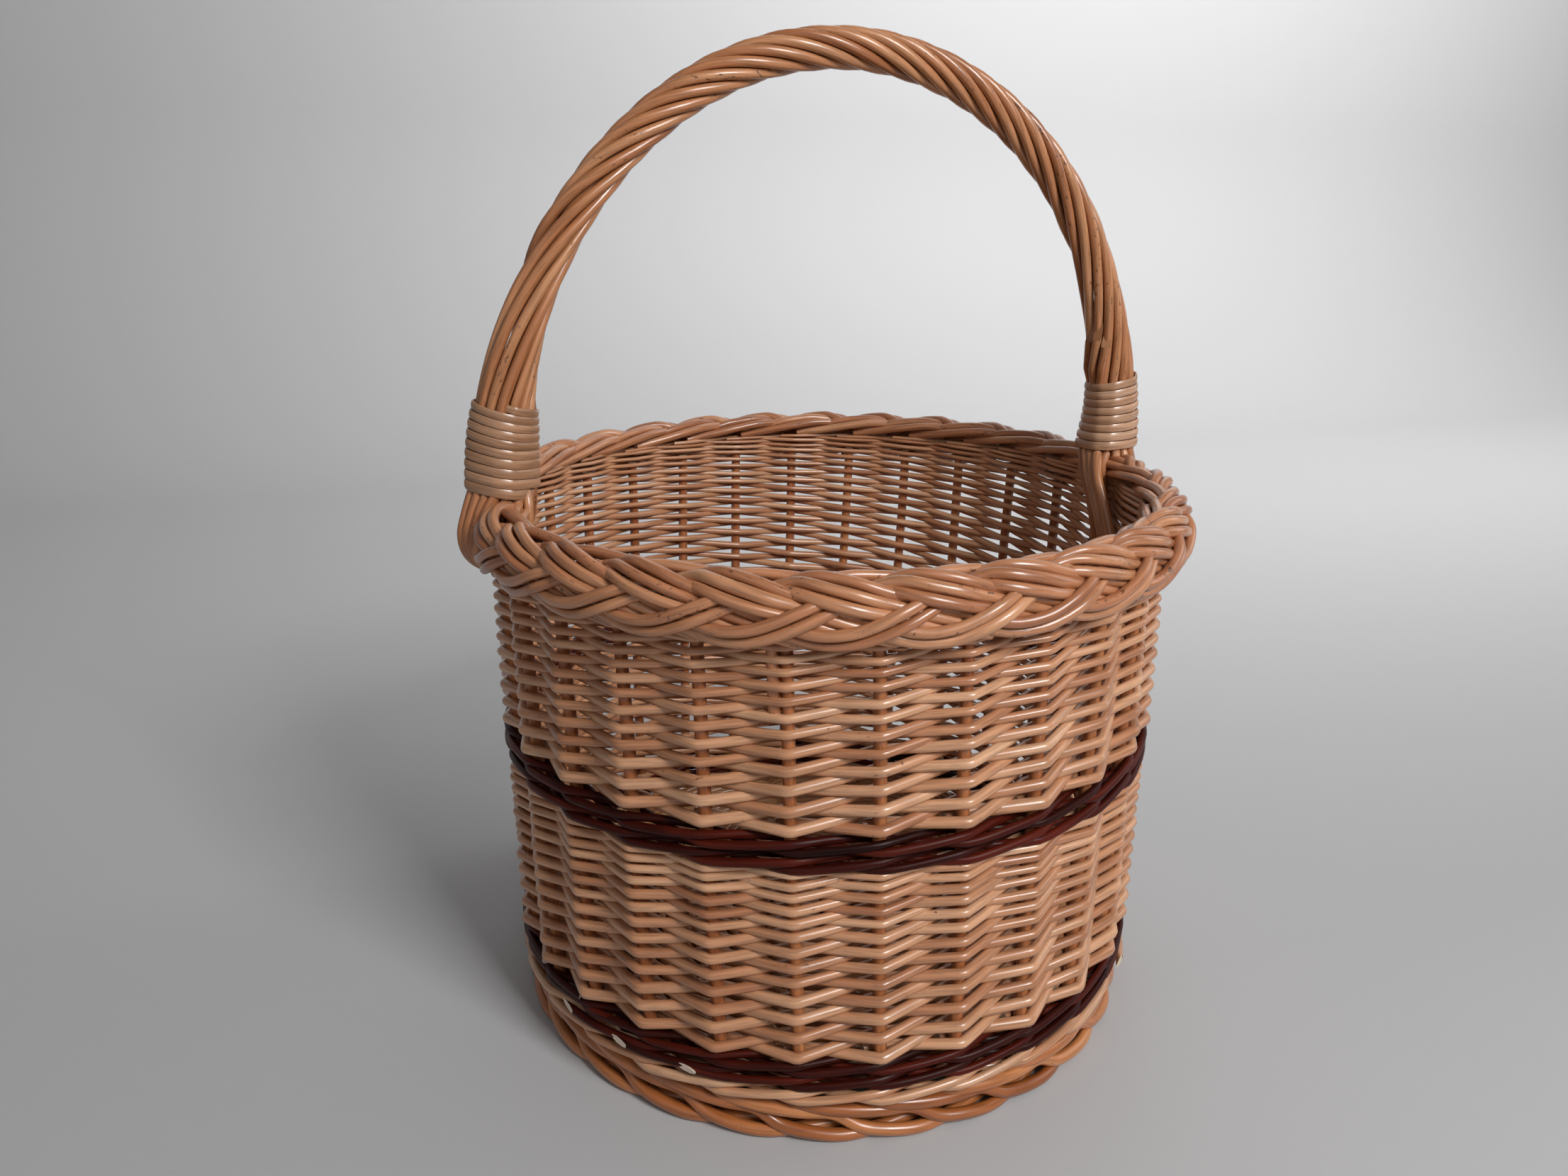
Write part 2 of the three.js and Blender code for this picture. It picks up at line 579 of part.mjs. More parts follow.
// Bindings: one skein wound round the foot of the handle, loop above loop
function binding(start, direction, loops) {
  const steps = loops * LOOP_STEPS;
  const points = [];
  for (let i = 0; i <= steps; i += 1) {
    const angle = (2 * Math.PI * i) / LOOP_STEPS;
    const along = start + (direction * WRAP_PITCH * i) / LOOP_STEPS;
    const grip = (HANDLE_ROD_DIAMETER + WRAP_DIAMETER) / 2 + CLEARANCE;
    const splay = splayAt(along);
    const out = (RING + splay + grip) / Math.cos(Math.PI / LOOP_STEPS);
    const across = (RING + SPLAY_ACROSS * splay + grip) / Math.cos(Math.PI / LOOP_STEPS);
    points.push(round(along, out * Math.cos(angle), across * Math.sin(angle)));
  }
  const straight = (end, before) => end.clone().sub(before).setLength(WRAP_DIAMETER).add(end);
  points.unshift(straight(points[0], points[1]));
  points.push(straight(points.at(-1), points.at(-2)));
  return points;
}

function leastGap(points, diameter) {
  let least = Infinity;
  for (let i = 0; i < points.length; i += 1) {
    for (let j = i + Math.floor(LOOP_STEPS / 2); j < points.length; j += 1) {
      least = Math.min(least, points[i].distanceTo(points[j]) - diameter);
    }
  }
  return least;
}

for (const [name, start, direction, loops] of [
  ["binding_left", BINDING_START + WRAP_DIAMETER / 2, 1, LEFT_LOOPS],
  ["binding_right", HANDLE_LENGTH - BINDING_START - WRAP_DIAMETER / 2, -1, RIGHT_LOOPS],
]) {
  const points = binding(start, direction, loops);
  console.log(`${name}: least gap to itself ${leastGap(points, WRAP_DIAMETER).toFixed(2)} mm`);
  add(name, rod(points, WRAP_DIAMETER, 6), COLOURS.skein);
}

export default group;
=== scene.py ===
# %% [markdown]
# # A willow shopping basket
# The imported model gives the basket's construction at its real size: the stakes, the woven bands as
# plain rings, the rim, the foot and the handle. This lesson weaves the real rods in their place.
# Everything is in metres, with the origin on the floor under the middle of the basket and the handle's
# arch in the XZ plane.

# %% Load the frame
import math

import bpy
import numpy as np
from mathutils import Matrix, Vector


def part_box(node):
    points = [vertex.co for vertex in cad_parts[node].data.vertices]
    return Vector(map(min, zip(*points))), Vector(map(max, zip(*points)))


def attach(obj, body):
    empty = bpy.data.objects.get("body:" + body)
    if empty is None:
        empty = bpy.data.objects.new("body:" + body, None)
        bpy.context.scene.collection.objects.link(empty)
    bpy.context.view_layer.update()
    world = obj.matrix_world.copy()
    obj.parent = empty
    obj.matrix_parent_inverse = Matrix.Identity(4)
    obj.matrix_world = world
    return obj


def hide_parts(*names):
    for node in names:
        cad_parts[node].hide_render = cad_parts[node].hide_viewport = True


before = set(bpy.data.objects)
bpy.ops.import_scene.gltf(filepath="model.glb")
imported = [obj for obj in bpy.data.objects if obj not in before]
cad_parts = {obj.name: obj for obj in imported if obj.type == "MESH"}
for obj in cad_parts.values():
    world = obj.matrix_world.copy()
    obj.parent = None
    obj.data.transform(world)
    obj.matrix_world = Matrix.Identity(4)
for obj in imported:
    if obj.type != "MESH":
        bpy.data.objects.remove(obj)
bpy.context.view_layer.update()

# %% [markdown]
# ## Where the stakes stand
# Every rod of the wall goes in front of or behind a stake, so the stakes are the ruler of this lesson.
# Their number, radius and first angle are read from the frame, and so are the levels of the woven
# bands. A place on the wall is then counted in stakes: place 3.5 is midway between the fourth stake and
# the fifth.


# %% Measure the stakes and the bands
def node_points(name):
    """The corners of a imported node."""
    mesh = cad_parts[name].data
    points = np.empty(len(mesh.vertices) * 3)
    mesh.vertices.foreach_get("co", points)
    return points.reshape(-1, 3)


def levels(name):
    """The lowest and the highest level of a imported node."""
    low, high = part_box(name)
    return low[2], high[2]


STAKE_NODES = sorted(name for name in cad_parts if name.startswith("stake_"))
STAKES = len(STAKE_NODES)
TURN = 2 * math.pi / STAKES
HEAD_SLICE = 0.001
first_stake = node_points("stake_01")
head = first_stake[first_stake[:, 2] > first_stake[:, 2].max() - HEAD_SLICE].mean(axis=0)
STAKE_START = math.atan2(head[1], head[0])
WALL_RADIUS = math.hypot(head[0], head[1])
print(STAKES, "stakes at radius", round(WALL_RADIUS, 4), "first at", round(math.degrees(STAKE_START), 2))


# %% Points round the wall
def around(place, radius, height):
    """Points at places counted in stakes, at radii and heights."""
    place, radius, height = np.broadcast_arrays(place, radius, height)
    angle = STAKE_START + TURN * place
    return np.stack([radius * np.cos(angle), radius * np.sin(angle), height], axis=-1)


print("place 0 of the wall is", around(0, WALL_RADIUS, 0.0).round(4).tolist())

# %% [markdown]
# ## One rod
# A willow rod is a long cone. By hand it would be a circle extruded again and again along its way, but
# this basket has some three hundred rods, each with hundreds of bends, so a small class does the
# extruding: it sweeps a round section along a line of points. Each rod also carries what its finish
# needs: a UV map with its length along it and the way round it, a tone of its own, and a mark on its
# cut ends.

# %% Rod maker
DICE_SEED = 28
dice = np.random.default_rng(DICE_SEED)


def unit(vectors):
    """The same directions with length 1."""
    return vectors / np.linalg.norm(vectors, axis=-1, keepdims=True)


class Bundle:
    """Rods that are gathered one by one and then become one piece."""

    def __init__(self, sides):
        self.sides = sides
        self.points, self.faces, self.uvs, self.tones, self.cuts = [], [], [], [], []
        self.count = 0

    def lay(self, line, radius, facing, tone=None, flat=1.0, slype=(0.0, 0.0)):
        """Sweep a section along a line, its seam away from the facing. A slype is a slanted end."""
        line = np.asarray(line, float)
        rings = len(line)
        steps = unit(np.diff(line, axis=0))
        tangent = unit(np.vstack([steps[:1], steps[:-1] + steps[1:], steps[-1:]]))
        side = unit(np.cross(tangent, np.broadcast_to(facing, line.shape)))
        up = np.cross(side, tangent)
        turn = math.pi + np.linspace(0, 2 * math.pi, self.sides, endpoint=False)
        section = np.cos(turn)[None, :, None] * up[:, None, :] * flat
        section = section + np.sin(turn)[None, :, None] * side[:, None, :]
        thick = np.broadcast_to(radius, rings)
        points = line[:, None, :] + thick[:, None, None] * section
        for end, slant in zip((0, -1), slype):
            points[end] += slant * thick[end] * np.cos(turn)[:, None] * tangent[end]
        self.gather(points, line, dice.random() if tone is None else tone)

    def gather(self, points, line, tone):
        """Add one swept rod: its side faces, its two ends, and what the finish reads from them."""
        rings, sides = points.shape[:2]
        start = sum(len(block) for block in self.points)
        ring, spot = np.meshgrid(np.arange(rings - 1), np.arange(sides), indexing="ij")
        after = (spot + 1) % sides
        corners = np.stack([ring * sides + spot, ring * sides + after,
                            (ring + 1) * sides + after, (ring + 1) * sides + spot], axis=-1)
        length = np.concatenate([[0.0], np.cumsum(np.linalg.norm(np.diff(line, axis=0), axis=1))])
        here, there = length[ring], length[ring + 1]
        low, high = spot / sides, (spot + 1) / sides
        uvs = np.stack([here, low, here, high, there, high, there, low], axis=-1)
        self.points.append(points.reshape(-1, 3))
        self.faces += (start + corners.reshape(-1, 4)).tolist()
        self.faces.append((start + np.arange(sides)[::-1]).tolist())
        self.faces.append((start + (rings - 1) * sides + np.arange(sides)).tolist())
        cap = np.arange(sides) / sides
        self.uvs.append(uvs.reshape(-1, 2))
        self.uvs.append(np.stack([np.full(sides, length[0]), cap[::-1]], axis=-1))
        self.uvs.append(np.stack([np.full(sides, length[-1]), cap], axis=-1))
        self.tones.append(np.full(rings * sides, tone))
        self.cuts += [0.0] * ((rings - 1) * sides) + [1.0, 1.0]
        self.count += 1


print("a rod has a seam, a tone and two cut ends")

# %% [markdown]
# ## From rods to a piece
# All rods of a band become one mesh with one finish. They could be objects that an operator joins, but
# with hundreds of rods that is slow, so the mesh is made once from all their points. Its sides are
# smooth and the rims of its cut ends stay sharp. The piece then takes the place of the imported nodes
# that it stands for.

# %% Piece maker
SHARP_ANGLE = math.radians(48)


def make_piece(rods, name, finish, nodes):
    """Make the piece, with its finish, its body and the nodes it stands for."""
    mesh = bpy.data.meshes.new(name)
    mesh.from_pydata(np.concatenate(rods.points), [], rods.faces)
    mesh.uv_layers.new(name="rod").data.foreach_set("uv", np.concatenate(rods.uvs).ravel())
    mesh.attributes.new("tone", "FLOAT", "POINT").data.foreach_set("value", np.concatenate(rods.tones))
    mesh.attributes.new("cut", "FLOAT", "FACE").data.foreach_set("value", rods.cuts)
    mesh.materials.append(finish)
    piece = bpy.data.objects.new(name, mesh)
    bpy.context.scene.collection.objects.link(piece)
    bpy.ops.object.select_all(action="DESELECT")
    piece.select_set(True)
    bpy.context.view_layer.objects.active = piece
    bpy.ops.object.shade_smooth_by_angle(angle=SHARP_ANGLE)
    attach(piece, "root")
    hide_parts(*nodes)
    mesh.calc_loop_triangles()
    print(f"{name}: {rods.count} rods, {len(mesh.loop_triangles)} triangles")


print("edges over", round(math.degrees(SHARP_ANGLE)), "degrees stay sharp")

# %% [markdown]
# ## Shader sums in Python
# A finish is easier to read as a sum than as a picture of wires. This small class wraps a socket, so
# that `1 - mask` or `grain * 0.2` adds the Math nodes that it needs. Every other node comes from one
# method, which takes the node's type, its settings and what goes into its sockets.


# %% Wires
class Wire:
    """A shader socket that can stand in an expression."""

    def __init__(self, tree, socket):
        self.tree = tree
        self.socket = socket

    @staticmethod
    def node(tree, kind, settings, sockets, out=0):
        """Add a node, set it up and fill its sockets with values or links."""
        made = tree.nodes.new(kind)
        for key, value in settings.items():
            if key == "stops":
                while len(made.color_ramp.elements) < len(value):
                    made.color_ramp.elements.new(1.0)
                for stop, (place, colour) in zip(made.color_ramp.elements, value):
                    stop.position = place
                    stop.color = colour
            else:
                setattr(made, key, value)
        for key, value in sockets.items():
            if isinstance(value, Wire):
                tree.links.new(value.socket, made.inputs[key])
            else:
                made.inputs[key].default_value = value
        return Wire(tree, made.outputs[out])

    def other(self, out):
        """Another output of the same node."""
        return Wire(self.tree, self.socket.node.outputs[out])

    def sum(self, operation, first, second):
        """One Math node."""
        return Wire.node(self.tree, "ShaderNodeMath", {"operation": operation}, {0: first, 1: second})

    def __add__(self, other):
        return self.sum("ADD", self, other)

    def __radd__(self, other):
        return self.sum("ADD", other, self)

    def __sub__(self, other):
        return self.sum("SUBTRACT", self, other)

    def __rsub__(self, other):
        return self.sum("SUBTRACT", other, self)

    def __mul__(self, other):
        return self.sum("MULTIPLY", self, other)

    def __rmul__(self, other):
        return self.sum("MULTIPLY", other, self)


def linear(code):
    """A colour written as six hex digits, as the renderer wants it."""
    values = [int(code[i:i + 2], 16) / 255 for i in (1, 3, 5)]
    return (*[v / 12.92 if v <= 0.04045 else ((v + 0.055) / 1.055) ** 2.4 for v in values], 1.0)


print("buff in linear light:", [round(v, 3) for v in linear("#c08c60")])

# %% [markdown]
# ## Willow
# Peeled willow is boiled buff, dried and varnished. Its colour wanders from rod to rod and along each
# rod, fine fibres run lengthwise, and small dark flecks mark where buds sat. A painted picture would do
# for one rod, but it would come again on all the others. So all three are noise on the rod's own UV map,
# stretched along the rod, and the fibres follow every bend. A rod's tone shifts the noise, so no two
# rods are alike. The cut ends are pale wood.

# %% Willow grain
# Pace along the rod, pace round it, shift from rod to rod, detail
PATCHES = (14.0, 0.8, 91.0, 2.0)
FIBRES = (60.0, 11.0, 57.0, 3.0)
BUDS = (380.0, 8.0, 23.0, 2.0)
STAINS = (26.0, 1.5, 71.0, 2.0)
NOISE_ROUGHNESS = 0.55
RAMP_PLACES = (0.2, 0.5, 0.8)
STREAK_EDGES = (0.32, 0.62)
STREAK_DEPTH = 0.3
FLECK_EDGE = 0.08
FLECK_DEPTH = 0.75
STAIN_EDGES = (0.5, 0.64)
CUT_DEPTH = 0.9
BUMP_STRENGTH = 0.22
BUMP_HEIGHT = 0.0006
COAT_ROUGHNESS = 0.22
print("fibres about", round(1000 / FIBRES[0]), "mm long, bud flecks", round(1000 / BUDS[0], 1), "mm")


# %% Willow finish
def willow(name, stops, fleck, flecks=0.66, gloss=0.34, varnish=0.45, pale="#e3cfae"):
    """A finish from three colours, dark to light, with fibres, bud flecks and pale cut ends."""
    material = bpy.data.materials.new(name)
    material.use_nodes = True
    tree = material.node_tree
    tree.nodes.clear()

    def node(kind, settings=None, out=0, **sockets):
        named = {key.replace("_", " "): value for key, value in sockets.items()}
        return Wire.node(tree, kind, settings or {}, named, out)

    def noise(lengthwise, crosswise, shift, detail):
        place = node("ShaderNodeCombineXYZ", X=along * lengthwise, Y=across * crosswise, Z=tone * shift)
        return node("ShaderNodeTexNoise", {}, "Fac", Vector=place, Scale=1.0, Detail=detail,
                    Roughness=NOISE_ROUGHNESS)

    def blend(kind, factor, first, second):
        settings = {"data_type": "RGBA", "blend_type": kind}
        return Wire.node(tree, "ShaderNodeMix", settings, {0: factor, 6: first, 7: second}, 2)

    def mask(value, low, high):
        return node("ShaderNodeMapRange", {"interpolation_type": "SMOOTHSTEP"}, 0,
                    Value=value, From_Min=low, From_Max=high)

    tone = node("ShaderNodeAttribute", {"attribute_name": "tone"}, "Fac")
    cut = node("ShaderNodeAttribute", {"attribute_name": "cut"}, "Fac")
    spot = node("ShaderNodeSeparateXYZ", Vector=node("ShaderNodeUVMap", {"uv_map": "rod"}))
    along, across = spot, spot.other("Y")

    patches, fibres, buds, stains = (noise(*kind) for kind in (PATCHES, FIBRES, BUDS, STAINS))
    shade = patches * 0.8 + tone * 0.3 - 0.05
    ramp = [(place, linear(code)) for place, code in zip(RAMP_PLACES, stops)]
    colour = node("ShaderNodeValToRGB", {"stops": ramp}, 0, Fac=shade)
    streak = mask(fibres, *STREAK_EDGES)
    grey = node("ShaderNodeCombineColor", Red=streak, Green=streak, Blue=streak)
    colour = blend("MULTIPLY", STREAK_DEPTH, colour, grey)
    speck = mask(buds, flecks, flecks + FLECK_EDGE) * mask(stains, *STAIN_EDGES)
    colour = blend("MIX", speck * FLECK_DEPTH, colour, linear(fleck))
    colour = blend("MIX", cut * CUT_DEPTH, colour, linear(pale))
    height = fibres * 0.6 + patches * 0.4 - speck * 0.5
    normal = node("ShaderNodeBump", {}, 0, Strength=BUMP_STRENGTH, Distance=BUMP_HEIGHT, Height=height)
    shader = Wire.node(tree, "ShaderNodeBsdfPrincipled", {}, {
        "Base Color": colour,
        "Roughness": fibres * 0.25 + gloss - 0.12 + cut * 0.3,
        "Normal": normal,
        "Specular IOR Level": 0.15 + varnish * 0.9,
        "Coat Weight": varnish,
        "Coat Roughness": COAT_ROUGHNESS,
    })
    end = tree.nodes.new("ShaderNodeOutputMaterial")
    tree.links.new(shader.socket, end.inputs["Surface"])
    return material


print("a finish has patches, fibres, bud flecks and pale ends under its varnish")

# %% Willow colours
BUFF = willow("buff_willow", ("#a96c48", "#c58c65", "#dcab85"), "#5a3422")
STAKE = willow("stake_willow", ("#8a4a26", "#b06c42", "#c98757"), "#4c2c1c")
BORDER = willow("border_willow", ("#965938", "#b87a53", "#ce966d"), "#33201a", 0.6)
HANDLE = willow("handle_willow", ("#8e5029", "#b4754a", "#cd9468"), "#42240f", 0.6, pale="#a06b42")
FOOT = willow("foot_willow", ("#8e4c20", "#b26a38", "#cc8752"), "#5a3118")
DARK = willow("dark_willow", ("#1c0502", "#3e0f07", "#65200f"), "#120504", 0.72, gloss=0.4, varnish=0.0,
              pale="#ead6c4")
SKEIN = willow("binding_skein", ("#9a7050", "#bb8d6b", "#d3aa8b"), "#5c4330", 0.7, gloss=0.4)
BASE = willow("base_willow", ("#8f5c34", "#b78052", "#cf9c6c"), "#4c2c1c")
print(len(bpy.data.materials), "materials, willow finishes among them")

# %% [markdown]
# ## Stakes
# Twenty-eight upright rods carry the wall. Each starts as a tail in the base, is pricked up at the edge
# and runs up into the rim, a little thicker at its foot than at its head. The wall isn't quite upright:
# it widens towards the rim, and its stakes lean. An array round the middle would copy one stake
# exactly, so each is laid by itself, with a little sway of its own. One stake in front has a second rod
# beside it below the rim, a liner, so that one is laid too.

# %% Stakes
STAKE_FOOT = 0.0028
STAKE_HEAD = 0.0025
STAKE_BEND = 0.0052
STAKE_TAIL = 0.045
TAIL_ASIDE = 0.05
ABOVE_BEND = 0.004
INTO_RIM = 0.007
SWAY = 0.0003
SWAY_START = 6
SWAY_RATE = 40
FLARE = 0.0032
LEAN_FOOT = 0.07
LEAN_HEAD = -0.10
LINER_PLACE = 18.865
LINER_OUT = 0.0010
LINER_LOW = 0.190
LINER_TONE = 0.4
stick_low, stick_high = levels("base_stick_1")
STICK_HEIGHT = (stick_low + stick_high) / 2
rim_low, rim_high = levels("rim_border")
wale_low, wale_high = levels("lower_wale")


def on_wall(place, out, height):
    """A point of the wall, which widens a little towards the rim while its stakes lean to the left."""
    lean = np.interp(height, (wale_low, rim_low), (LEAN_FOOT, LEAN_HEAD))
    flare = np.interp(height, (wale_low, rim_low), (0.0, FLARE))
    return around(place + lean, WALL_RADIUS + flare + out, height)


def stake_radius(height):
    """How thick a stake is at a height."""
    return np.interp(height, (STICK_HEIGHT, rim_low), (STAKE_FOOT, STAKE_HEAD))


stakes = Bundle(sides=10)
corner = np.linspace(0, math.pi / 2, 6)
inset = STAKE_BEND * (1 - np.sin(corner))
lift = STAKE_BEND * (1 - np.cos(corner))
rise = np.linspace(STICK_HEIGHT + STAKE_BEND + ABOVE_BEND, rim_low + INTO_RIM, 16)
for stake in range(STAKES):
    sway = SWAY * np.sin(dice.random() * SWAY_START + rise * SWAY_RATE)
    tail = on_wall(stake + TAIL_ASIDE * (-1) ** stake, -STAKE_TAIL, STICK_HEIGHT)[None]
    bend = on_wall(stake, -inset, STICK_HEIGHT + lift)
    upright = on_wall(stake + sway / WALL_RADIUS / TURN, 0.0, rise)
    line = np.vstack([tail, bend, upright])
    stakes.lay(line, stake_radius(line[:, 2]), around(stake, 1.0, 1.0))
liner = on_wall(LINER_PLACE, LINER_OUT, np.linspace(LINER_LOW, rim_low + INTO_RIM, 8))
stakes.lay(liner, STAKE_HEAD, around(LINER_PLACE, 1.0, 1.0), tone=LINER_TONE)
make_piece(stakes, "stake_rods", STAKE, STAKE_NODES)

# %% [markdown]
# ## Siding
# The wall is French randing: as many rods as stakes, each started one stake further on, and each going
# in front of one stake and behind the next while it climbs. So a front stroke stands on every stake at
# the same level, and the stroke above it belongs to the rod that started two stakes before. The rods
# taper, so the rows close up towards the top of a band. A rod runs straight between stakes and turns
# with a crisp kink on each. One rod copied round by an array would make every row alike, so each is laid
# anew with its own thickness. The rods at the back of this wall are thinner.


# %% Siding rods
KINK = 0.02
SLIM_BACK = 0.18
WEAVER_SPREAD = 0.05
ROW_SPREAD = 0.00025
ROD_END = 1.25
BUTT_LOW = -0.4
TIP_RISE = 0.5
SAMPLES = np.array([-0.42, -0.2, -0.07, -0.02, 0.02, 0.07, 0.2, 0.42])


def kinked(share):
    """How far a rod has left a stake, from 0 on it to 1 midway to the next, with a small round at 0."""
    soft = np.sqrt(share ** 2 + KINK ** 2) - KINK
    return soft / (math.sqrt(0.5 ** 2 + KINK ** 2) - KINK)


def chord(share):
    """Straight between stakes in plan: how much nearer the axis a chord is than its arc."""
    return math.cos(TURN / 2) / np.cos((0.5 - np.abs(share)) * TURN)


def siding(first_row, last_row, rows, butt, tip, closing):
    """Lay one rod from each stake. closing is how much closer the last rows are than the first."""
    last = 2 * (rows - 1)
    marks = np.arange(-1, last + 2)
    rises = np.linspace(1.0, closing, last)
    heights = np.concatenate([[BUTT_LOW], [0.0], np.cumsum(rises), [rises.sum() + TIP_RISE * closing]])
    heights = first_row + heights / rises.sum() * (last_row - first_row)
    places = (marks[:, None] + SAMPLES).ravel()
    places = places[(places > -ROD_END) & (places < last + ROD_END)]
    nearest = np.rint(places)
    share = places - nearest
    front = np.where(nearest % 2 == 0, 1.0, -1.0)
    rods = Bundle(sides=10)
    for rod in range(STAKES):
        grade = 1 + WEAVER_SPREAD * dice.standard_normal()
        slim = 1 - SLIM_BACK * np.clip(np.sin(STAKE_START + TURN * (rod + places)), 0, 1)
        thick = grade * slim * np.interp(places, (-1, last), (butt, tip))
        uneven = ROW_SPREAD * dice.standard_normal(len(marks))
        height = np.interp(places, marks, heights + uneven)
        stand = stake_radius(height) + thick
        out = front * stand * (1 - kinked(share)) - WALL_RADIUS * (1 - chord(share))
        rods.lay(on_wall(rod + places, out, height), thick, around(rod + places, 1.0, 0.0))
    return rods


print("midway a rod lies", round(1000 * WALL_RADIUS * (1 - chord(0.5)), 1), "mm inside the wall's circle")

# %% Two sidings
WEAVER_BUTT = 0.0024
lower_low, lower_high = levels("lower_siding")
lower_first = lower_low + 0.0012
lower_last = lower_high - 0.0026
lower = siding(lower_first, lower_last, rows=13, butt=WEAVER_BUTT, tip=0.0017, closing=0.48)
make_piece(lower, "lower_siding_rods", BUFF, ["lower_siding"])
upper_first = levels("upper_siding")[0] + 0.0014
upper_last = rim_low + 0.0140
upper = siding(upper_first, upper_last, rows=17, butt=WEAVER_BUTT, tip=0.0011, closing=0.31)
make_piece(upper, "upper_siding_rods", BUFF, ["upper_siding"])

# %% [markdown]
# ## Wales
# A wale is a rope of three rods that binds the wall tight: each goes in front of two stakes and behind
# one, and the three take turns. Two rounds of dark willow stand under each siding, and one round of
# buff, the upsett, lies at the very bottom where the stakes are pricked up. Three twisted curves would
# pass from far off, but the strokes have to fall on the stakes. So the beat of in front and behind is
# written down by half stakes and then softened. The butts are cut with a slant and left outside, as pale
# dots on the dark band.


# %% Wale rods
WALE_RODS = 3
WALE_SPREAD = 0.06
STEP_UP = 3
SPARE_MARKS = 9
IN_FRONT = 0.9
FINE_STEP = 0.125
BUTT_START = 0.625
BUTT_REACH = 0.7
BUTT_RISE = 1.0
BUTT_OUT = 2.3
BUTT_SLANT = 2.8
WALE_SOFT = np.array([0.25, 0.5, 0.25])
# Six half stakes: behind one stake, out, along the front of two, and in again
BEAT_SIDES = (-1.0, 0.0, 1.0, 1.0, 1.0, 0.0)
BEAT_LIFTS = (0.0, -0.5, -0.5, 0.0, 0.5, 0.5)


def wale(rods, bottom, rounds, thick, begin):
    """Three rods in turn, rising by two rods' height where one round ends and the next begins."""
    across = 2 * thick
    marks = np.arange(2 * STAKES * rounds + SPARE_MARKS) / 2
    for weaver in range(WALE_RODS):
        beat = (2 * (marks - weaver)).astype(int) % len(BEAT_SIDES)
        side = np.choose(beat, BEAT_SIDES)
        lift = np.choose(beat, BEAT_LIFTS)
        fine = np.arange(weaver + BUTT_START, STAKES * rounds + weaver, FINE_STEP)
        side = np.interp(fine, marks, side)
        lift = np.interp(fine, marks, lift)
        side[1:-1] = np.convolve(side, WALE_SOFT, "valid")
        lift[1:-1] = np.convolve(lift, WALE_SOFT, "valid")
        climb = 2 * sum(np.clip((fine - STAKES * lap) / STEP_UP + 0.5, 0, 1) for lap in range(1, rounds))
        size = thick * (1 + WALE_SPREAD * dice.standard_normal())
        height = bottom + across * (1 + lift + climb)
        share = fine - np.rint(fine)
        out = side * (STAKE_FOOT + size)
        butt = np.clip(1 - (fine - fine[0]) / BUTT_REACH, 0, 1)
        out += butt * (STAKE_FOOT + BUTT_OUT * size - out)
        height += butt * BUTT_RISE * size
        flat = np.where((side > IN_FRONT) | (butt > 0), 0.0, 1.0)
        out -= flat * (WALL_RADIUS + out) * (1 - chord(share))
        place = begin + fine
        rods.lay(on_wall(place, out, height), size, around(place, 1.0, 0.0), slype=(BUTT_SLANT, 0.0))


print("a wale takes", WALE_RODS, "rods, which begin one stake apart")

# %% Three wales
LOWER_BEGIN = 15
MIDDLE_BEGIN = 2
UPSETT_BEGIN = 24
LOWER_DROP = 0.0010
MIDDLE_DROP = 0.0021
UPSETT_ROD = 0.00195
# Two rounds are four rods high
BAND_RADII = 8
lower_wale = Bundle(sides=10)
lower_rod = (wale_high - wale_low) / BAND_RADII
wale(lower_wale, wale_low - LOWER_DROP, 2, lower_rod, LOWER_BEGIN)
make_piece(lower_wale, "lower_wale_rods", DARK, ["lower_wale"])
middle_wale = Bundle(sides=10)
middle_low, middle_high = levels("middle_wale")
middle_rod = (middle_high - middle_low) / BAND_RADII
wale(middle_wale, middle_low - MIDDLE_DROP, 2, middle_rod, MIDDLE_BEGIN)
make_piece(middle_wale, "middle_wale_rods", DARK, ["middle_wale"])
upsett = Bundle(sides=10)
upsett_bottom = levels("upsett_wale")[1] - 4 * UPSETT_ROD
wale(upsett, upsett_bottom, 1, UPSETT_ROD, UPSETT_BEGIN)
make_piece(upsett, "upsett_rods", BUFF, ["upsett_wale"])

# %% [markdown]
# ## Foot
# The basket stands on a rolled border: a thick rod comes out beside each stake, runs along under the
# wale, lies down over its neighbours to the floor and goes back in under the next ones, where its tail
# fills the inside. A twisted ring would be quicker, but it wouldn't show where a rod comes out and goes
# in. One line of points, repeated at each stake, does.


# %% Foot rods
def smooth_line(points, per_span):
    """A curve through the points, Catmull-Rom, with so many points to a span."""
    points = np.asarray(points, float)
    ends = np.vstack([2 * points[0] - points[1], points, 2 * points[-1] - points[-2]])
    share = np.linspace(0, 1, per_span, endpoint=False)[:, None]
    spans = []
    for a, b, c, d in zip(ends[:-3], ends[1:-2], ends[2:-1], ends[3:]):
        spans.append(b + 0.5 * share * (c - a + share * (2 * a - 5 * b + 4 * c - d
                                                       + share * (3 * (b - c) + d - a))))
    return np.vstack([*spans, points[-1:]])


FOOT_ROD = 0.0028
foot_low, foot_high = levels("foot_border")
foot_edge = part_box("foot_border")[1][0] - FOOT_ROD
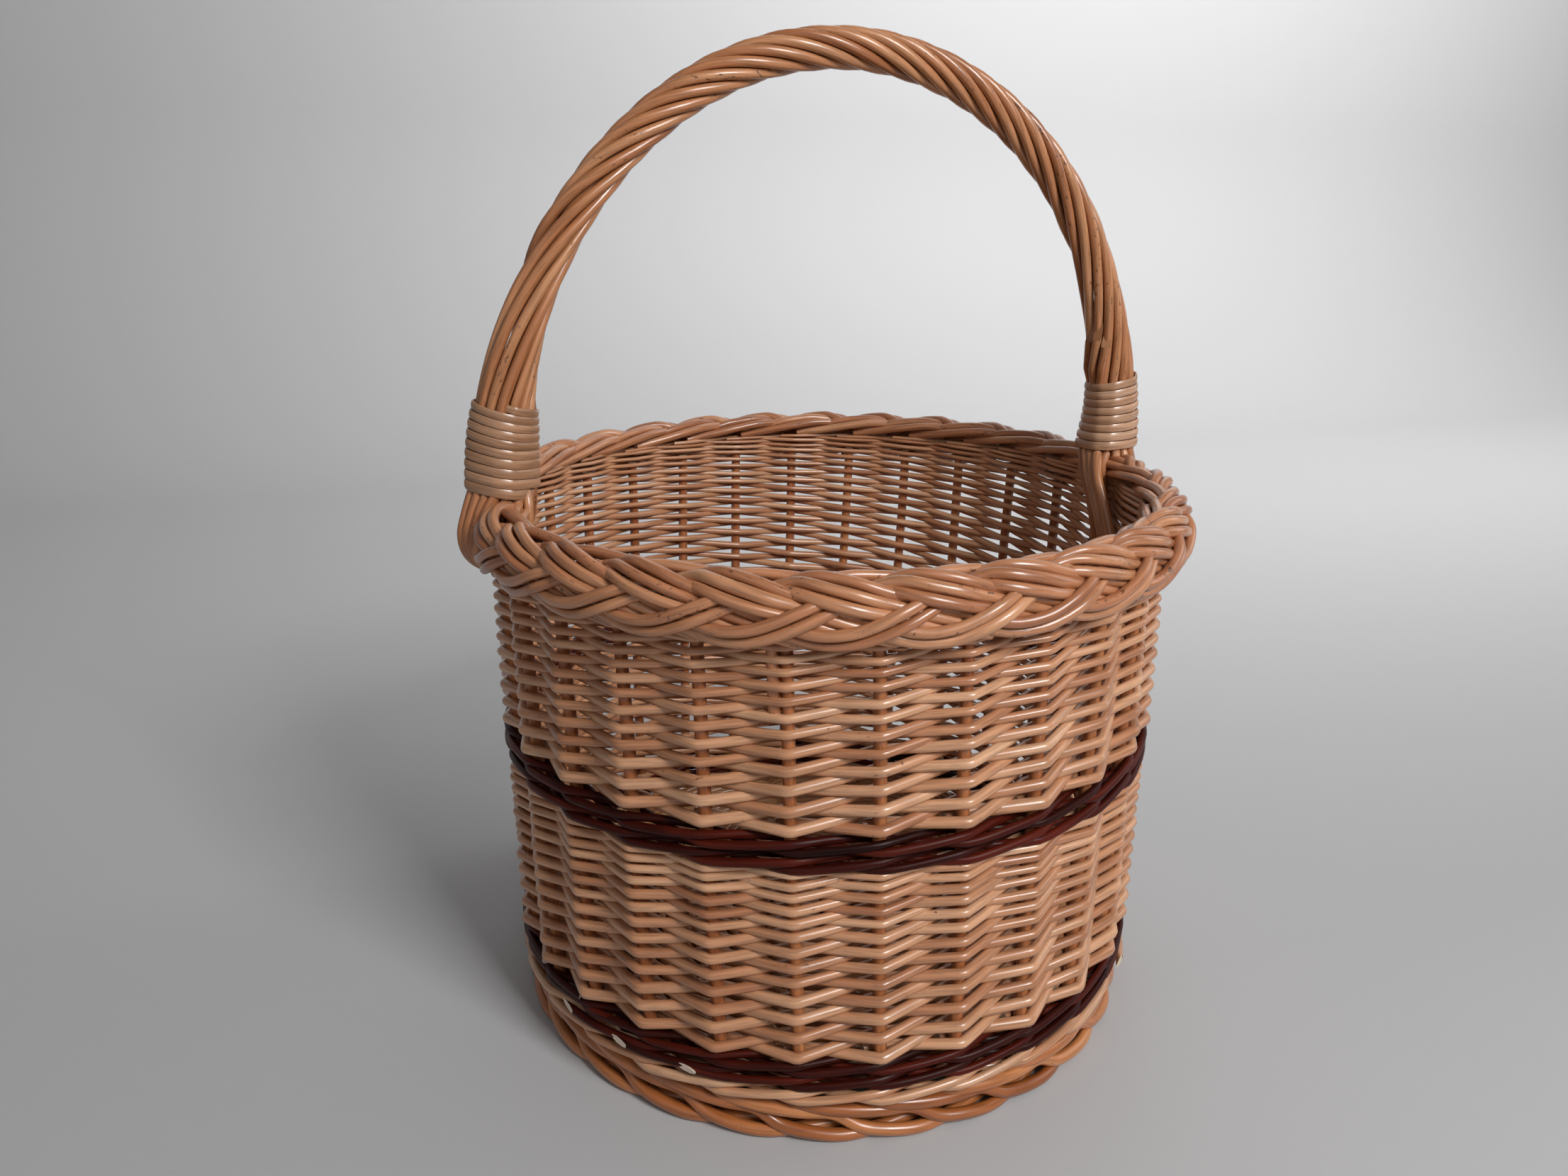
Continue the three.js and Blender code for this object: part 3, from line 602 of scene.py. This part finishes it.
# Stakes along, out from the edge, height
FOOT_ROUTE = (
    (-0.35, -0.0065, foot_high + 0.0006),
    (0.05, -0.0014, foot_high + 0.0004),
    (0.6, 0.0000, foot_high - 0.0010),
    (1.1, -0.0003, foot_high - 0.0024),
    (1.5, -0.0018, foot_high - 0.0042),
    (1.85, -0.0004, foot_low + 0.0060),
    (2.25, 0.0006, foot_low + 0.0040),
    (2.65, 0.0000, foot_low + FOOT_ROD),
    (3.1, -0.0034, foot_low + FOOT_ROD),
    (3.55, -0.0070, foot_low + 0.0034),
    (4.1, -0.0088, foot_low + 0.0052),
    (4.7, -0.0096, foot_low + 0.0070),
    (5.3, -0.0112, foot_low + 0.0084),
)
FOOT_SPREAD = 0.04
FOOT_TAPER = (1.04, 0.9)
foot = Bundle(sides=12)
way = smooth_line(FOOT_ROUTE, per_span=7)
for stake in range(STAKES):
    size = FOOT_ROD * (1 + FOOT_SPREAD * dice.standard_normal())
    thick = size * np.linspace(*FOOT_TAPER, len(way))
    line = around(stake + way[:, 0], foot_edge + way[:, 1], np.maximum(way[:, 2], thick))
    foot.lay(line, thick, around(stake + way[:, 0], 1.0, 0.3))
make_piece(foot, "foot_rods", FOOT, ["foot_border"])

# %% [markdown]
# ## Rim
# At the top the stakes turn down into a plait. Three rods come up side by side at each stake, lie over
# the crest and slant down to the outer edge, where one of them ends. The other two sweep along that
# edge, climb over one of the threes, dive under the next two and come out at the crest, where they lie
# along the inner face like a rope. The plait is drawn flat first, as a way along the rim and a way
# across it, and then wrapped over the rim's round section, which is easier to get right than lines drawn
# in space.

# %% Rim section
RIM_ROD = 0.0022
RIM_LAYER = 0.0021
rim_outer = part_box("rim_border")[1][0]
RIM_ACROSS = 0.0095
RIM_UP = 0.0120
RIM_MIDDLE = rim_outer - RIM_ACROSS - RIM_LAYER - RIM_ROD
RIM_HEIGHT = rim_high - RIM_UP - RIM_LAYER - RIM_ROD
SECTION_ENDS = (-60, 215)
section_angle = np.radians(np.linspace(*SECTION_ENDS, 276))
section_r = RIM_MIDDLE + RIM_ACROSS * np.cos(section_angle)
section_z = RIM_HEIGHT + RIM_UP * np.sin(section_angle)
section_way = np.concatenate([[0.0], np.cumsum(np.hypot(np.diff(section_r), np.diff(section_z)))])
FOOT_PLACES = [(math.radians(degrees) - STAKE_START) / TURN for degrees in (180, 0)]
PINCH = (0.0075, 0.0012)
PINCH_REACH = 0.5
RIM_RAISED = 0.0010
RAISED_BACK = 0.0012
RAISED_RIGHT = 0.0008


def pinch(place):
    """How far the handle's feet, left and right, push the plait inwards."""
    near = [(place - foot + STAKES / 2) % STAKES - STAKES / 2 for foot in FOOT_PLACES]
    return sum(size * np.exp(-(apart / PINCH_REACH) ** 2) for size, apart in zip(PINCH, near))


def unlevel(place):
    """The rim isn't quite level: it stands highest at the back and on the right."""
    angle = STAKE_START + TURN * place
    return RIM_RAISED + RAISED_BACK * np.sin(angle) + RAISED_RIGHT * np.cos(angle)


def way_at(degrees):
    """How far across the rim an angle of its section lies."""
    return float(np.interp(math.radians(degrees), section_angle, section_way))


def on_rim(place, way, lift):
    """A point of the plait, and the direction out of the rim there."""
    angle = np.interp(way, section_way, section_angle)
    out_r, out_z = np.cos(angle) / RIM_ACROSS, np.sin(angle) / RIM_UP
    size = np.hypot(out_r, out_z)
    out_r, out_z = out_r / size, out_z / size
    radius = RIM_MIDDLE + RIM_ACROSS * np.cos(angle) + lift * out_r - pinch(place)
    height = RIM_HEIGHT + RIM_UP * np.sin(angle) + lift * out_z + unlevel(place)
    return around(place, radius, height), around(place, out_r, out_z)


print("rim section is", round(section_way[-1] * 1000, 1), "mm round")

# %% Plait route
OUTER_EDGE = way_at(-36)
RIM_PITCH = TURN * (RIM_MIDDLE + RIM_ACROSS)
RIM_TURN = -0.14
# Stakes along, way across from the outer edge
PLAIT_ROUTE = (
    (-0.6, 0.0235), (-0.2, 0.0240), (0.1, 0.0228), (0.4, 0.0190), (0.8, 0.0155), (1.2, 0.0119),
    (1.7, 0.0052), (2.25, 0.0000), (2.75, 0.0022), (3.2, 0.0080), (3.45, 0.0117), (3.8, 0.0175),
    (4.1, 0.0228), (4.4, 0.0263), (4.9, 0.0291), (5.4, 0.0309), (6.0, 0.0314),
)
plait_curve = smooth_line(PLAIT_ROUTE, per_span=12)


def plait_way(step):
    """How far across the rim a strand lies, from the outer edge, at a step along it."""
    return OUTER_EDGE + np.interp(step, plait_curve[:, 0], plait_curve[:, 1])


print("a strand passes", round(plait_curve[-1, 0] - plait_curve[0, 0], 1), "stakes")

# %% Rim plait
# Where a strand lies over its neighbours and where under them, in layers
LIFT_STEPS = (-0.6, -0.25, 0.0, 0.35, 0.8, 1.15, 2.0, 2.4, 2.7,
              3.2, 3.5, 3.7, 4.1, 4.4, 4.7, 5.2, 5.6, 6.0)
LIFTS = (-4.6, -2.4, -1.0, 0.9, 0.7, -1.0, -1.0, 0.5, 1.0,
         1.0, -0.5, -1.2, -1.2, -0.2, 0.6, 0.3, -1.3, -3.2)
LATE_STEPS = (-0.3, 0.1, 0.45)
LATE_LIFTS = (-3.6, -1.2, 0.9)
SWITCH_STEPS = (1.6, 2.7)
STEP_POINTS = 18
STRAND_APART = 1.97
STRAND_SPREAD = 0.05
STRAND_TAPER = (1.04, 0.94)
STRAND_SOFT = np.hanning(9) / np.hanning(9).sum()
# Name, first and last step, place beside the others on the way down and on the way back
STRANDS = (
    ("upper", -0.6, 5.95, 1.0, 0.5),
    ("middle", -0.6, 5.9, 0.0, -0.5),
    ("lower", -0.45, 2.2, -1.0, -1.0),
)


def plait_strand(rods, stake, first, last, beside_down, beside_back, late):
    """Lay one strand. A late one comes up after its neighbours, from lower in the rim."""
    step = np.linspace(first, last, int((last - first) * STEP_POINTS))
    way = plait_way(step)
    along = np.gradient(step) * RIM_PITCH
    across = np.gradient(way)
    slope = np.hypot(along, across)
    beside = np.interp(step, SWITCH_STEPS, (beside_down, beside_back)) * STRAND_APART * RIM_ROD
    lift = np.interp(step, LIFT_STEPS, LIFTS)
    if late:
        lift = np.where(step < LATE_STEPS[-1], np.interp(step, LATE_STEPS, LATE_LIFTS), lift)
    lift = np.convolve(np.pad(lift, 4, "edge"), STRAND_SOFT, "valid") * RIM_LAYER
    place = stake + RIM_TURN + step - beside * across / slope / RIM_PITCH
    size = RIM_ROD * (1 + STRAND_SPREAD * dice.standard_normal())
    line, facing = on_rim(place, way + beside * along / slope, lift)
    rods.lay(line, size * np.linspace(*STRAND_TAPER, len(step)), facing)


rim = Bundle(sides=10)
for stake in range(STAKES):
    for name, first, last, beside_down, beside_back in STRANDS:
        plait_strand(rim, stake, first, last, beside_down, beside_back, name == "lower")
make_piece(rim, "rim_plait", BORDER, ["rim_border"])

# %% [markdown]
# ## Handle
# A stout bow is the core of the handle. Eight thinner rods are roped round it, four from each foot.
# A twist modifier would turn them evenly, but the roping is slow near the bindings and steady between
# them, so their turn is worked out along the bow. Below the binding the outer ones spread over the rim
# and tuck in under it, and the inner ones run down inside the wall.

# %% Handle line
bow_low, bow_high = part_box("handle_bow")
BOW_RADIUS = 0.0038
HANDLE_REACH = WALL_RADIUS + 0.001
HANDLE_LEG = 0.009
HANDLE_SWAY = 0.006
HANDLE_LIFT = 0.0012
HANDLE_RISE = bow_high[2] - BOW_RADIUS - rim_high + HANDLE_LIFT
LEG_POINTS = 20
swing = np.linspace(math.pi, 0, 400)
leg = np.linspace(0, HANDLE_LEG, LEG_POINTS, endpoint=False)
arch_rise = HANDLE_LEG + (HANDLE_RISE - HANDLE_LEG) * np.sin(swing)
rise = np.concatenate([leg, arch_rise, leg[::-1]]) / HANDLE_RISE
reach = np.concatenate([np.full(LEG_POINTS, -1.0), np.cos(swing), np.full(LEG_POINTS, 1.0)])
handle_x = HANDLE_REACH * reach + HANDLE_SWAY * rise * (2 - rise)
handle_z = rim_high + HANDLE_RISE * rise
handle_way = np.concatenate([[0.0], np.cumsum(np.hypot(np.diff(handle_x), np.diff(handle_z)))])
HANDLE_LENGTH = handle_way[-1]
SLOPE_REACH = 0.002


def on_handle(way, out, across):
    """A point beside the handle's line: out from its arch, and across it towards the back."""
    x = np.interp(way, handle_way, handle_x)
    z = np.interp(way, handle_way, handle_z)
    ahead = np.minimum(way + SLOPE_REACH, HANDLE_LENGTH)
    behind = np.maximum(way - SLOPE_REACH, 0)
    dx = np.interp(ahead, handle_way, handle_x) - np.interp(behind, handle_way, handle_x)
    dz = np.interp(ahead, handle_way, handle_z) - np.interp(behind, handle_way, handle_z)
    size = np.hypot(dx, dz)
    return np.stack([x - out * dz / size, across + 0 * x, z + out * dx / size], axis=-1)


print("handle is", round(HANDLE_LENGTH, 3), "m along its bow")

# %% Handle rods
HANDLE_RODS = 8
HANDLE_ROD = 0.0022
ROD_RING = 0.0064
ROD_ANGLES = (np.arange(HANDLE_RODS) - (HANDLE_RODS - 1) / 2) * 2 * math.pi / HANDLE_RODS
SPLAY_SIZES = (0.0076, 0.0050)
FAN_CENTRE = 0.0042
SPLAY_REACH = 0.150
SPLAY_FALL = 2.2
CORNER = 1.35
TURNS = 3
TWIST_EASE = (0.375, 0.125)
FAN_LEFT = math.radians(90)
FAN_RIGHT = math.radians(130)
BINDING_START = 0.0025
LEFT_TOP = BINDING_START + 0.0345
RIGHT_TOP = HANDLE_LENGTH - BINDING_START - 0.0335


def splay_at(way):
    """How far the ring of rods is opened: wholly at the foot of the binding, and less and less above it."""
    from_foot = np.minimum(way, HANDLE_LENGTH - way) - BINDING_START
    return np.clip(1 - from_foot / SPLAY_REACH, 0, 1) ** SPLAY_FALL


def ring_at(way):
    """The radius of the ring of rods, which the left foot opens wider than the right."""
    return ROD_RING + splay_at(way) * np.interp(way, (0, HANDLE_LENGTH), SPLAY_SIZES)


def twist_at(way):
    """The turn of the roping: slow near the bindings and steady between them."""
    share = np.clip((way - LEFT_TOP) / (RIGHT_TOP - LEFT_TOP), 0, 1)
    whole = FAN_RIGHT - FAN_LEFT + 2 * math.pi * TURNS
    angle = 2 * math.pi * share
    slow = TWIST_EASE[0] * np.sin(angle) + TWIST_EASE[1] * np.sin(2 * angle) / 2
    return FAN_LEFT + whole * (share - slow / (2 * math.pi))


def rod_section(way):
    """Where all rods lie round the handle's line. The ring opens to a fan, its rods still side by side."""
    way = np.asarray(way)[..., None]
    splay = splay_at(way)
    radius = ring_at(way)
    fan = ROD_ANGLES * ROD_RING / radius
    diamond = (np.abs(np.cos(fan)) ** CORNER + np.abs(np.sin(fan)) ** CORNER) ** (-1 / CORNER)
    radius = radius * (1 + splay * (diamond - 1))
    twist = twist_at(way)
    back = FAN_CENTRE * splay
    out = radius * np.cos(twist + fan) - back * np.cos(twist)
    across = back * np.sin(twist) - radius * np.sin(twist + fan)
    return out, across


print("rods", round(2000 * HANDLE_ROD, 1), "mm thick,", TURNS, "turns")

# %% [markdown]
# Below the bindings every rod has a way of its own. On the left, four go over the rim and are tucked in
# under it, two go into the border and two run down inside the wall. On the right, two go over the rim,
# two into the border and four inside. A route is a list of points: out from the wall, across, and up
# from the rim's edge.

# %% Handle feet
OVER_FIRST = ((0.0165, -0.0015, 0.0195), (0.0193, -0.0020, 0.0095), (0.0180, -0.0025, 0.0012),
              (0.0130, -0.0030, -0.0042), (0.0060, -0.0030, -0.0060))
OVER_LAST = ((0.0095, -0.0095, 0.0190), (0.0130, -0.0085, 0.0090), (0.0138, -0.0075, 0.0012),
             (0.0105, -0.0070, -0.0040), (0.0050, -0.0065, -0.0060))
INTO_FIRST = ((0.0035, -0.0085, 0.0190), (0.0030, -0.0075, 0.0060))
INTO_LAST = ((-0.0035, -0.0080, 0.0190), (-0.0010, -0.0070, 0.0060))
LEFT_IN_FIRST = ((-0.0085, -0.0070, 0.0200), (-0.0078, -0.0085, 0.0060), (-0.0060, -0.0095, -0.0200),
                 (-0.0010, -0.0100, -0.0330))
LEFT_IN_LAST = ((-0.0105, -0.0010, 0.0200), (-0.0080, 0.0010, 0.0060), (-0.0060, 0.0010, -0.0200),
                (-0.0010, 0.0010, -0.0330))
RIGHT_IN_FIRST = ((-0.0084, -0.0125, 0.0170), (-0.0072, -0.0195, 0.0060), (-0.0050, -0.0290, -0.0125),
                  (-0.0030, -0.0330, -0.0270), (0.0020, -0.0350, -0.0360))
RIGHT_IN_LAST = ((-0.0082, 0.0020, 0.0170), (-0.0072, -0.0035, 0.0060), (-0.0050, -0.0090, -0.0125),
                 (-0.0030, -0.0115, -0.0270), (0.0020, -0.0130, -0.0360))
LEFT_FEET = ((4, OVER_FIRST, OVER_LAST), (2, INTO_FIRST, INTO_LAST), (2, LEFT_IN_FIRST, LEFT_IN_LAST))
RIGHT_FEET = ((2, OVER_FIRST, OVER_LAST), (2, INTO_FIRST, INTO_LAST), (4, RIGHT_IN_FIRST, RIGHT_IN_LAST))


def feet(side, groups):
    """The way of every rod below one binding, from the outermost to the innermost."""
    made = []
    for count, first, last in groups:
        for share in np.linspace(0, 1, count):
            out, across, up = ((1 - share) * np.array(first) + share * np.array(last)).T
            reach = np.sqrt((WALL_RADIUS + out) ** 2 - across ** 2)
            made.append(np.stack([side * reach, across, rim_low + up], axis=-1))
    return made


TAPER_ENDS = ((0.92, 1.06), (1.06, 0.92))
TOWARDS_MIDDLE = (0.9, 0, 1)
left_feet = feet(-1, LEFT_FEET)
right_feet = feet(1, RIGHT_FEET)
handle = Bundle(sides=12)
handle_ways = np.linspace(BINDING_START, HANDLE_LENGTH - BINDING_START, 150)
outs, acrosses = rod_section(handle_ways)
for rod in range(HANDLE_RODS):
    middle = on_handle(handle_ways, outs[:, rod], acrosses[:, rod])
    left = smooth_line(np.vstack([middle[:1], left_feet[rod]]), per_span=6)[1:]
    right = smooth_line(np.vstack([middle[-1:], right_feet[rod]]), per_span=6)[1:]
    line = np.vstack([left[::-1], middle, right])
    thick = HANDLE_ROD * np.linspace(*TAPER_ENDS[rod % 2], len(line))
    left_core = left[::-1] * TOWARDS_MIDDLE
    right_core = right * TOWARDS_MIDDLE
    centre = np.vstack([left_core, on_handle(handle_ways, 0, 0), right_core])
    handle.lay(line, thick, unit(line - centre))
print(handle.count, "rods from foot to foot")

# %% [markdown]
# Three short rods were pushed down into the right binding to fill it. Their slanted ends stand a
# little above it, so they are laid on the ring of rods there, each at its own turn and height.

# %% Filling rods
STUBS = ((1.20, 0.0225), (0.80, 0.0235), (0.36, 0.0190))
STUB_ROD = HANDLE_ROD * 0.95
STUB_BELOW = 0.004
STUB_RISE = 0.007
STUB_LIFTS = (0.0022, 0.0004)
STUB_SLANT = -3.0
for turn, above in STUBS:
    ways = np.linspace(RIGHT_TOP + STUB_BELOW, RIGHT_TOP - above, 16)
    radius = ring_at(ways) + np.interp(ways, (RIGHT_TOP - STUB_RISE, RIGHT_TOP), STUB_LIFTS)
    back = FAN_CENTRE * splay_at(ways)
    twist = twist_at(ways)
    out = radius * np.cos(twist + turn) - back * np.cos(twist)
    line = on_handle(ways, out, back * np.sin(twist) - radius * np.sin(twist + turn))
    handle.lay(line, STUB_ROD, unit(line - on_handle(ways, 0, 0)), slype=(0.0, STUB_SLANT))
rod_nodes = [f"handle_rod_{i + 1}" for i in range(HANDLE_RODS)]
make_piece(handle, "handle_strands", HANDLE, rod_nodes)

# %% Handle bow
BOW_TAPER = (0.34, 0.7, 1.0)
TAIL_TOP = rim_high - 0.004
bow = Bundle(sides=12)
arch = on_handle(np.linspace(0, HANDLE_LENGTH, 120), 0, 0)
tail_heights = np.linspace(bow_low[2], TAIL_TOP, 8)
tail_reach = np.interp(tail_heights, (rim_low, rim_high), (WALL_RADIUS, HANDLE_REACH))
left_tail = np.stack([-tail_reach, 0 * tail_reach, tail_heights], axis=-1)
line = np.vstack([left_tail, arch, (left_tail * (-1, 1, 1))[::-1]])
thick = BOW_RADIUS * np.interp(line[:, 2], (bow_low[2], rim_low, rim_high), BOW_TAPER)
bow.lay(line, thick, (0, 1, 0))
make_piece(bow, "handle_core", HANDLE, ["handle_bow"])

# %% [markdown]
# ## Bindings
# Each foot of the handle is bound with a skein, a strip split from a willow rod: wide, flat and
# flexible. A stack of rings would be simpler, but a skein climbs as it goes round, so this is one strip,
# wound loop above loop. It pulls tight over the rods inside, so that its loops have a corner at the
# front.


# %% Binding loops
SKEIN_FLAT = 0.36
SKEIN_SOFT = 0.0006
LOOP_TILT = 0.06
LOOP_POINTS = 72
TUCK_LOOP = 0.07
TUCKED = 0.1
ROD_GRIP = 1.05
FACE_REACH = 0.01
BOW_BACK = 0.0016


def binding(start, direction, begin, loops, length, wide):
    """Wind a strip that narrows from one width to another. It lies on the hull of the rods inside it."""
    turns = np.linspace(0, loops, int(loops * LOOP_POINTS) + 1)
    share = turns / loops
    half = np.interp(share, (0, 1), wide) / 2
    climbed = wide[0] * share + (wide[1] - wide[0]) * share ** 2 / 2
    way = start + direction * length * climbed / climbed[-1]
    outs, acrosses = rod_section(way)
    back = twist_at(way)
    outs = np.column_stack([outs, -BOW_BACK * np.cos(back)])
    acrosses = np.column_stack([acrosses, BOW_BACK * np.sin(back)])
    angle = 2 * math.pi * turns + math.radians(begin)
    face_out, face_across = np.cos(angle), np.sin(angle)
    reach = outs * face_out[:, None] + acrosses * face_across[:, None]
    pull = np.exp((reach - reach.max(axis=1, keepdims=True)) / SKEIN_SOFT)
    pull /= pull.sum(axis=1, keepdims=True)
    tuck = np.interp(turns, (0, TUCK_LOOP, loops - TUCK_LOOP, loops), (TUCKED, 1, 1, TUCKED))
    grip = (HANDLE_ROD * ROD_GRIP + half * SKEIN_FLAT) * tuck
    out = (pull * outs).sum(axis=1) + grip * face_out
    across = (pull * acrosses).sum(axis=1) + grip * face_across
    tilted = way + direction * LOOP_TILT * out
    line = on_handle(tilted, out, across)
    skein = Bundle(sides=10)
    facing = on_handle(tilted, out + FACE_REACH * face_out, across + FACE_REACH * face_across) - line
    skein.lay(line, half, unit(facing), flat=SKEIN_FLAT)
    return skein


print("a skein is", SKEIN_FLAT, "times as thick as it is wide")

# %% Two bindings
LEFT_START = BINDING_START - 0.0014
LEFT_WIDTHS = (0.0043, 0.0034)
left_length = LEFT_TOP - LEFT_START
left_binding = binding(LEFT_START, 1, begin=-150, loops=9.2, length=left_length, wide=LEFT_WIDTHS)
make_piece(left_binding, "left_binding", SKEIN, ["binding_left"])
RIGHT_START = HANDLE_LENGTH - BINDING_START
RIGHT_WIDTHS = (0.0042, 0.0037)
right_length = RIGHT_START - RIGHT_TOP
right_binding = binding(RIGHT_START, -1, begin=50, loops=8, length=right_length, wide=RIGHT_WIDTHS)
make_piece(right_binding, "right_binding", SKEIN, ["binding_right"])

# %% [markdown]
# ## Base
# The base is hidden in use, but it is what the basket is begun on: seven sticks crossed at the middle,
# three of them split so that the other four pass through, opened out like spokes, with pairs of rods
# twined round them. A disc with a woven pattern would pass from above, but from below every rod shows,
# so they are laid like the rest.

# %% Base sticks
STICK_RADIUS = 0.0030
STICKS = 7
LEVEL_STICKS = 4
STICK_PITCH = 0.0066
SLATH = STICK_PITCH * LEVEL_STICKS
SPOKE_TURN = 2 * TURN
SPOKE_BEND = 1.5 * SLATH
BASE_TURN = STAKE_START - TURN / 2
BASE_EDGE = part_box("base_weave")[1][0]
SPOKE_END = BASE_EDGE - 0.008
LEVEL_REACH = 0.014
SPLIT_FLAT = 0.55
SPLIT_SIZE = STICK_RADIUS * 0.95
SPLIT_APART = STICK_RADIUS + 0.0013


def in_base(x, y, z=0.0):
    """A point of the base: along the sticks that pass through, across them, and up."""
    turned = Matrix.Rotation(BASE_TURN, 3, "Z") @ Vector((x, y, STICK_HEIGHT + z))
    return np.array(turned)


def spoke(x, y, angle, lift=0.0):
    """Half a stick: from the crossing it bends out to its own direction."""
    aim = math.cos(angle), math.sin(angle)
    bend, end = (in_base(reach * aim[0], reach * aim[1]) for reach in (SPOKE_BEND, SPOKE_END))
    return [in_base(x, y, lift), bend, end]


sticks = Bundle(sides=12)
for index in range(LEVEL_STICKS):
    aside = index - (LEVEL_STICKS - 1) / 2
    right = spoke(LEVEL_REACH, aside * STICK_PITCH, aside * SPOKE_TURN)
    left = spoke(-LEVEL_REACH, aside * STICK_PITCH, math.pi - aside * SPOKE_TURN)
    sticks.lay(smooth_line([*left[::-1], *right], per_span=8), STICK_RADIUS, (0, 0, 1))
for index in range(STICKS - LEVEL_STICKS):
    aside = index - (STICKS - LEVEL_STICKS - 1) / 2
    for lift in (-1, 1):
        shift = lift * SPLIT_APART
        x = aside * STICK_PITCH
        far = spoke(x, SLATH / 2, math.pi / 2 - aside * SPOKE_TURN, shift)
        near = spoke(x, -SLATH / 2, aside * SPOKE_TURN - math.pi / 2, shift)
        sticks.lay(smooth_line([*near[::-1], *far], per_span=8), SPLIT_SIZE, (0, 0, lift), flat=SPLIT_FLAT)
make_piece(sticks, "base_sticks", BASE, [f"base_stick_{i + 1}" for i in range(STICKS)])

# %% Base weave
PAIR_ROD = 0.0019
PAIR_START = SLATH + 0.002
PAIR_PITCH = 2 * PAIR_ROD + 0.0011
PAIR_SQUARE = 0.6
PAIR_LIFT = 0.95
PAIR_DRIFT = 0.9
pairing = Bundle(sides=8)
place = np.linspace(0, STAKES, STAKES * 6 + 1)
rows = np.arange(PAIR_START, BASE_EDGE - PAIR_ROD, PAIR_PITCH)
for row, radius in enumerate(rows):
    phase = math.pi * (place + 0.5) / 2 + math.pi * row
    wave = np.cos(phase)
    for side in (1, -1):
        lift = side * (STICK_RADIUS + PAIR_ROD) * PAIR_LIFT * np.sign(wave) * np.abs(wave) ** PAIR_SQUARE
        height = STICK_HEIGHT + lift
        drift = side * PAIR_ROD * PAIR_DRIFT * np.sin(phase)
        pairing.lay(around(place, radius + drift, height), PAIR_ROD, (0, 0, 1))
make_piece(pairing, "base_pairing", BASE, ["base_weave"])

# %% [markdown]
# ## Stage
# A pale floor rises behind into a backdrop. A small key light stands high in front on the right and
# draws the highlights along the rods. A window on the right, a weak fill on the left and an even sky
# soften its shadows, and a wash lights only the backdrop. The camera stands where the photograph was
# taken: close, a little above the rim, looking down.

# %% Floor
FLOOR_SIZE = 8.0
BACKDROP_PLACE = 1.6
NEAR = 0.01
bpy.ops.object.select_all(action="DESELECT")
bpy.ops.mesh.primitive_plane_add(size=FLOOR_SIZE)
floor = bpy.context.object
floor.name = "floor"
for corner in floor.data.vertices:
    corner.co.y += BACKDROP_PLACE - FLOOR_SIZE / 2
bpy.ops.object.mode_set(mode="EDIT")
bpy.ops.mesh.select_mode(type="EDGE")
bpy.ops.mesh.select_all(action="DESELECT")
bpy.ops.object.mode_set(mode="OBJECT")
for edge in floor.data.edges:
    ends = [floor.data.vertices[i].co.y for i in edge.vertices]
    edge.select = min(ends) > BACKDROP_PLACE - NEAR
bpy.ops.object.mode_set(mode="EDIT")
bpy.ops.mesh.extrude_region_move(TRANSFORM_OT_translate={"value": (0, 0, FLOOR_SIZE / 2)})
bpy.ops.object.mode_set(mode="OBJECT")
for edge in floor.data.edges:
    ends = [floor.data.vertices[i].co for i in edge.vertices]
    edge.select = all(abs(end.z) < NEAR and end.y > BACKDROP_PLACE - NEAR for end in ends)
bpy.ops.object.mode_set(mode="EDIT")
bpy.ops.mesh.bevel(offset=0.5, segments=16)
bpy.ops.object.mode_set(mode="OBJECT")
bpy.ops.object.shade_smooth()
pale_floor = bpy.data.materials.new("pale_floor")
pale_floor.use_nodes = True
floor_shader = pale_floor.node_tree.nodes["Principled BSDF"]
floor_shader.inputs["Base Color"].default_value = linear("#b8b8b9")
floor_shader.inputs["Roughness"].default_value = 0.6
floor.data.materials.append(pale_floor)
print("floor", FLOOR_SIZE, "m wide, backdrop", BACKDROP_PLACE, "m behind the middle")


# %% Lights
def area_light(name, place, size, watts, target=(0, 0, 0.2)):
    """A square lamp that faces its target."""
    data = bpy.data.lights.new(name, "AREA")
    data.size = size
    data.energy = watts
    lamp = bpy.data.objects.new(name, data)
    lamp.location = place
    lamp.rotation_euler = (Vector(target) - Vector(place)).to_track_quat("-Z", "Y").to_euler()
    bpy.context.scene.collection.objects.link(lamp)


area_light("key", (0.45, -1.25, 1.15), size=0.5, watts=21.5)
area_light("window", (2.2, -0.1, 1.1), size=1.2, watts=7)
area_light("fill", (-1.1, -1.1, 0.9), size=1.2, watts=1.9)
area_light("wash", (1.2, 0.5, 1.6), size=1.8, watts=42, target=(1.2, 1.6, 1.2))
world = bpy.data.worlds.new("studio")
world.use_nodes = True
sky = world.node_tree.nodes["Background"]
sky.inputs["Color"].default_value = (1.0, 1.0, 1.0, 1.0)
sky.inputs["Strength"].default_value = 0.15
bpy.context.scene.world = world
bpy.context.scene.view_settings.view_transform = "Standard"
print(len(bpy.data.lights), "lamps and an even sky")

# %% Camera
PHOTO_WIDTH = 2212
FOCAL_PIXELS = 1662
CAMERA_PLACE = Vector((-0.1722, -0.5017, 0.3620))
CAMERA_TURN = math.radians(16.9)
CAMERA_DIP = math.radians(18.13)
SENSOR = 36
lens = bpy.data.cameras.new("camera")
lens.sensor_width = SENSOR
lens.lens = SENSOR * FOCAL_PIXELS / PHOTO_WIDTH
camera = bpy.data.objects.new("camera", lens)
camera.location = CAMERA_PLACE
camera.rotation_euler = (math.pi / 2 - CAMERA_DIP, 0, -CAMERA_TURN)
bpy.context.scene.collection.objects.link(camera)
bpy.context.scene.camera = camera
print("lens", round(lens.lens, 2), "mm")

# %% Finish
bpy.context.view_layer.update()
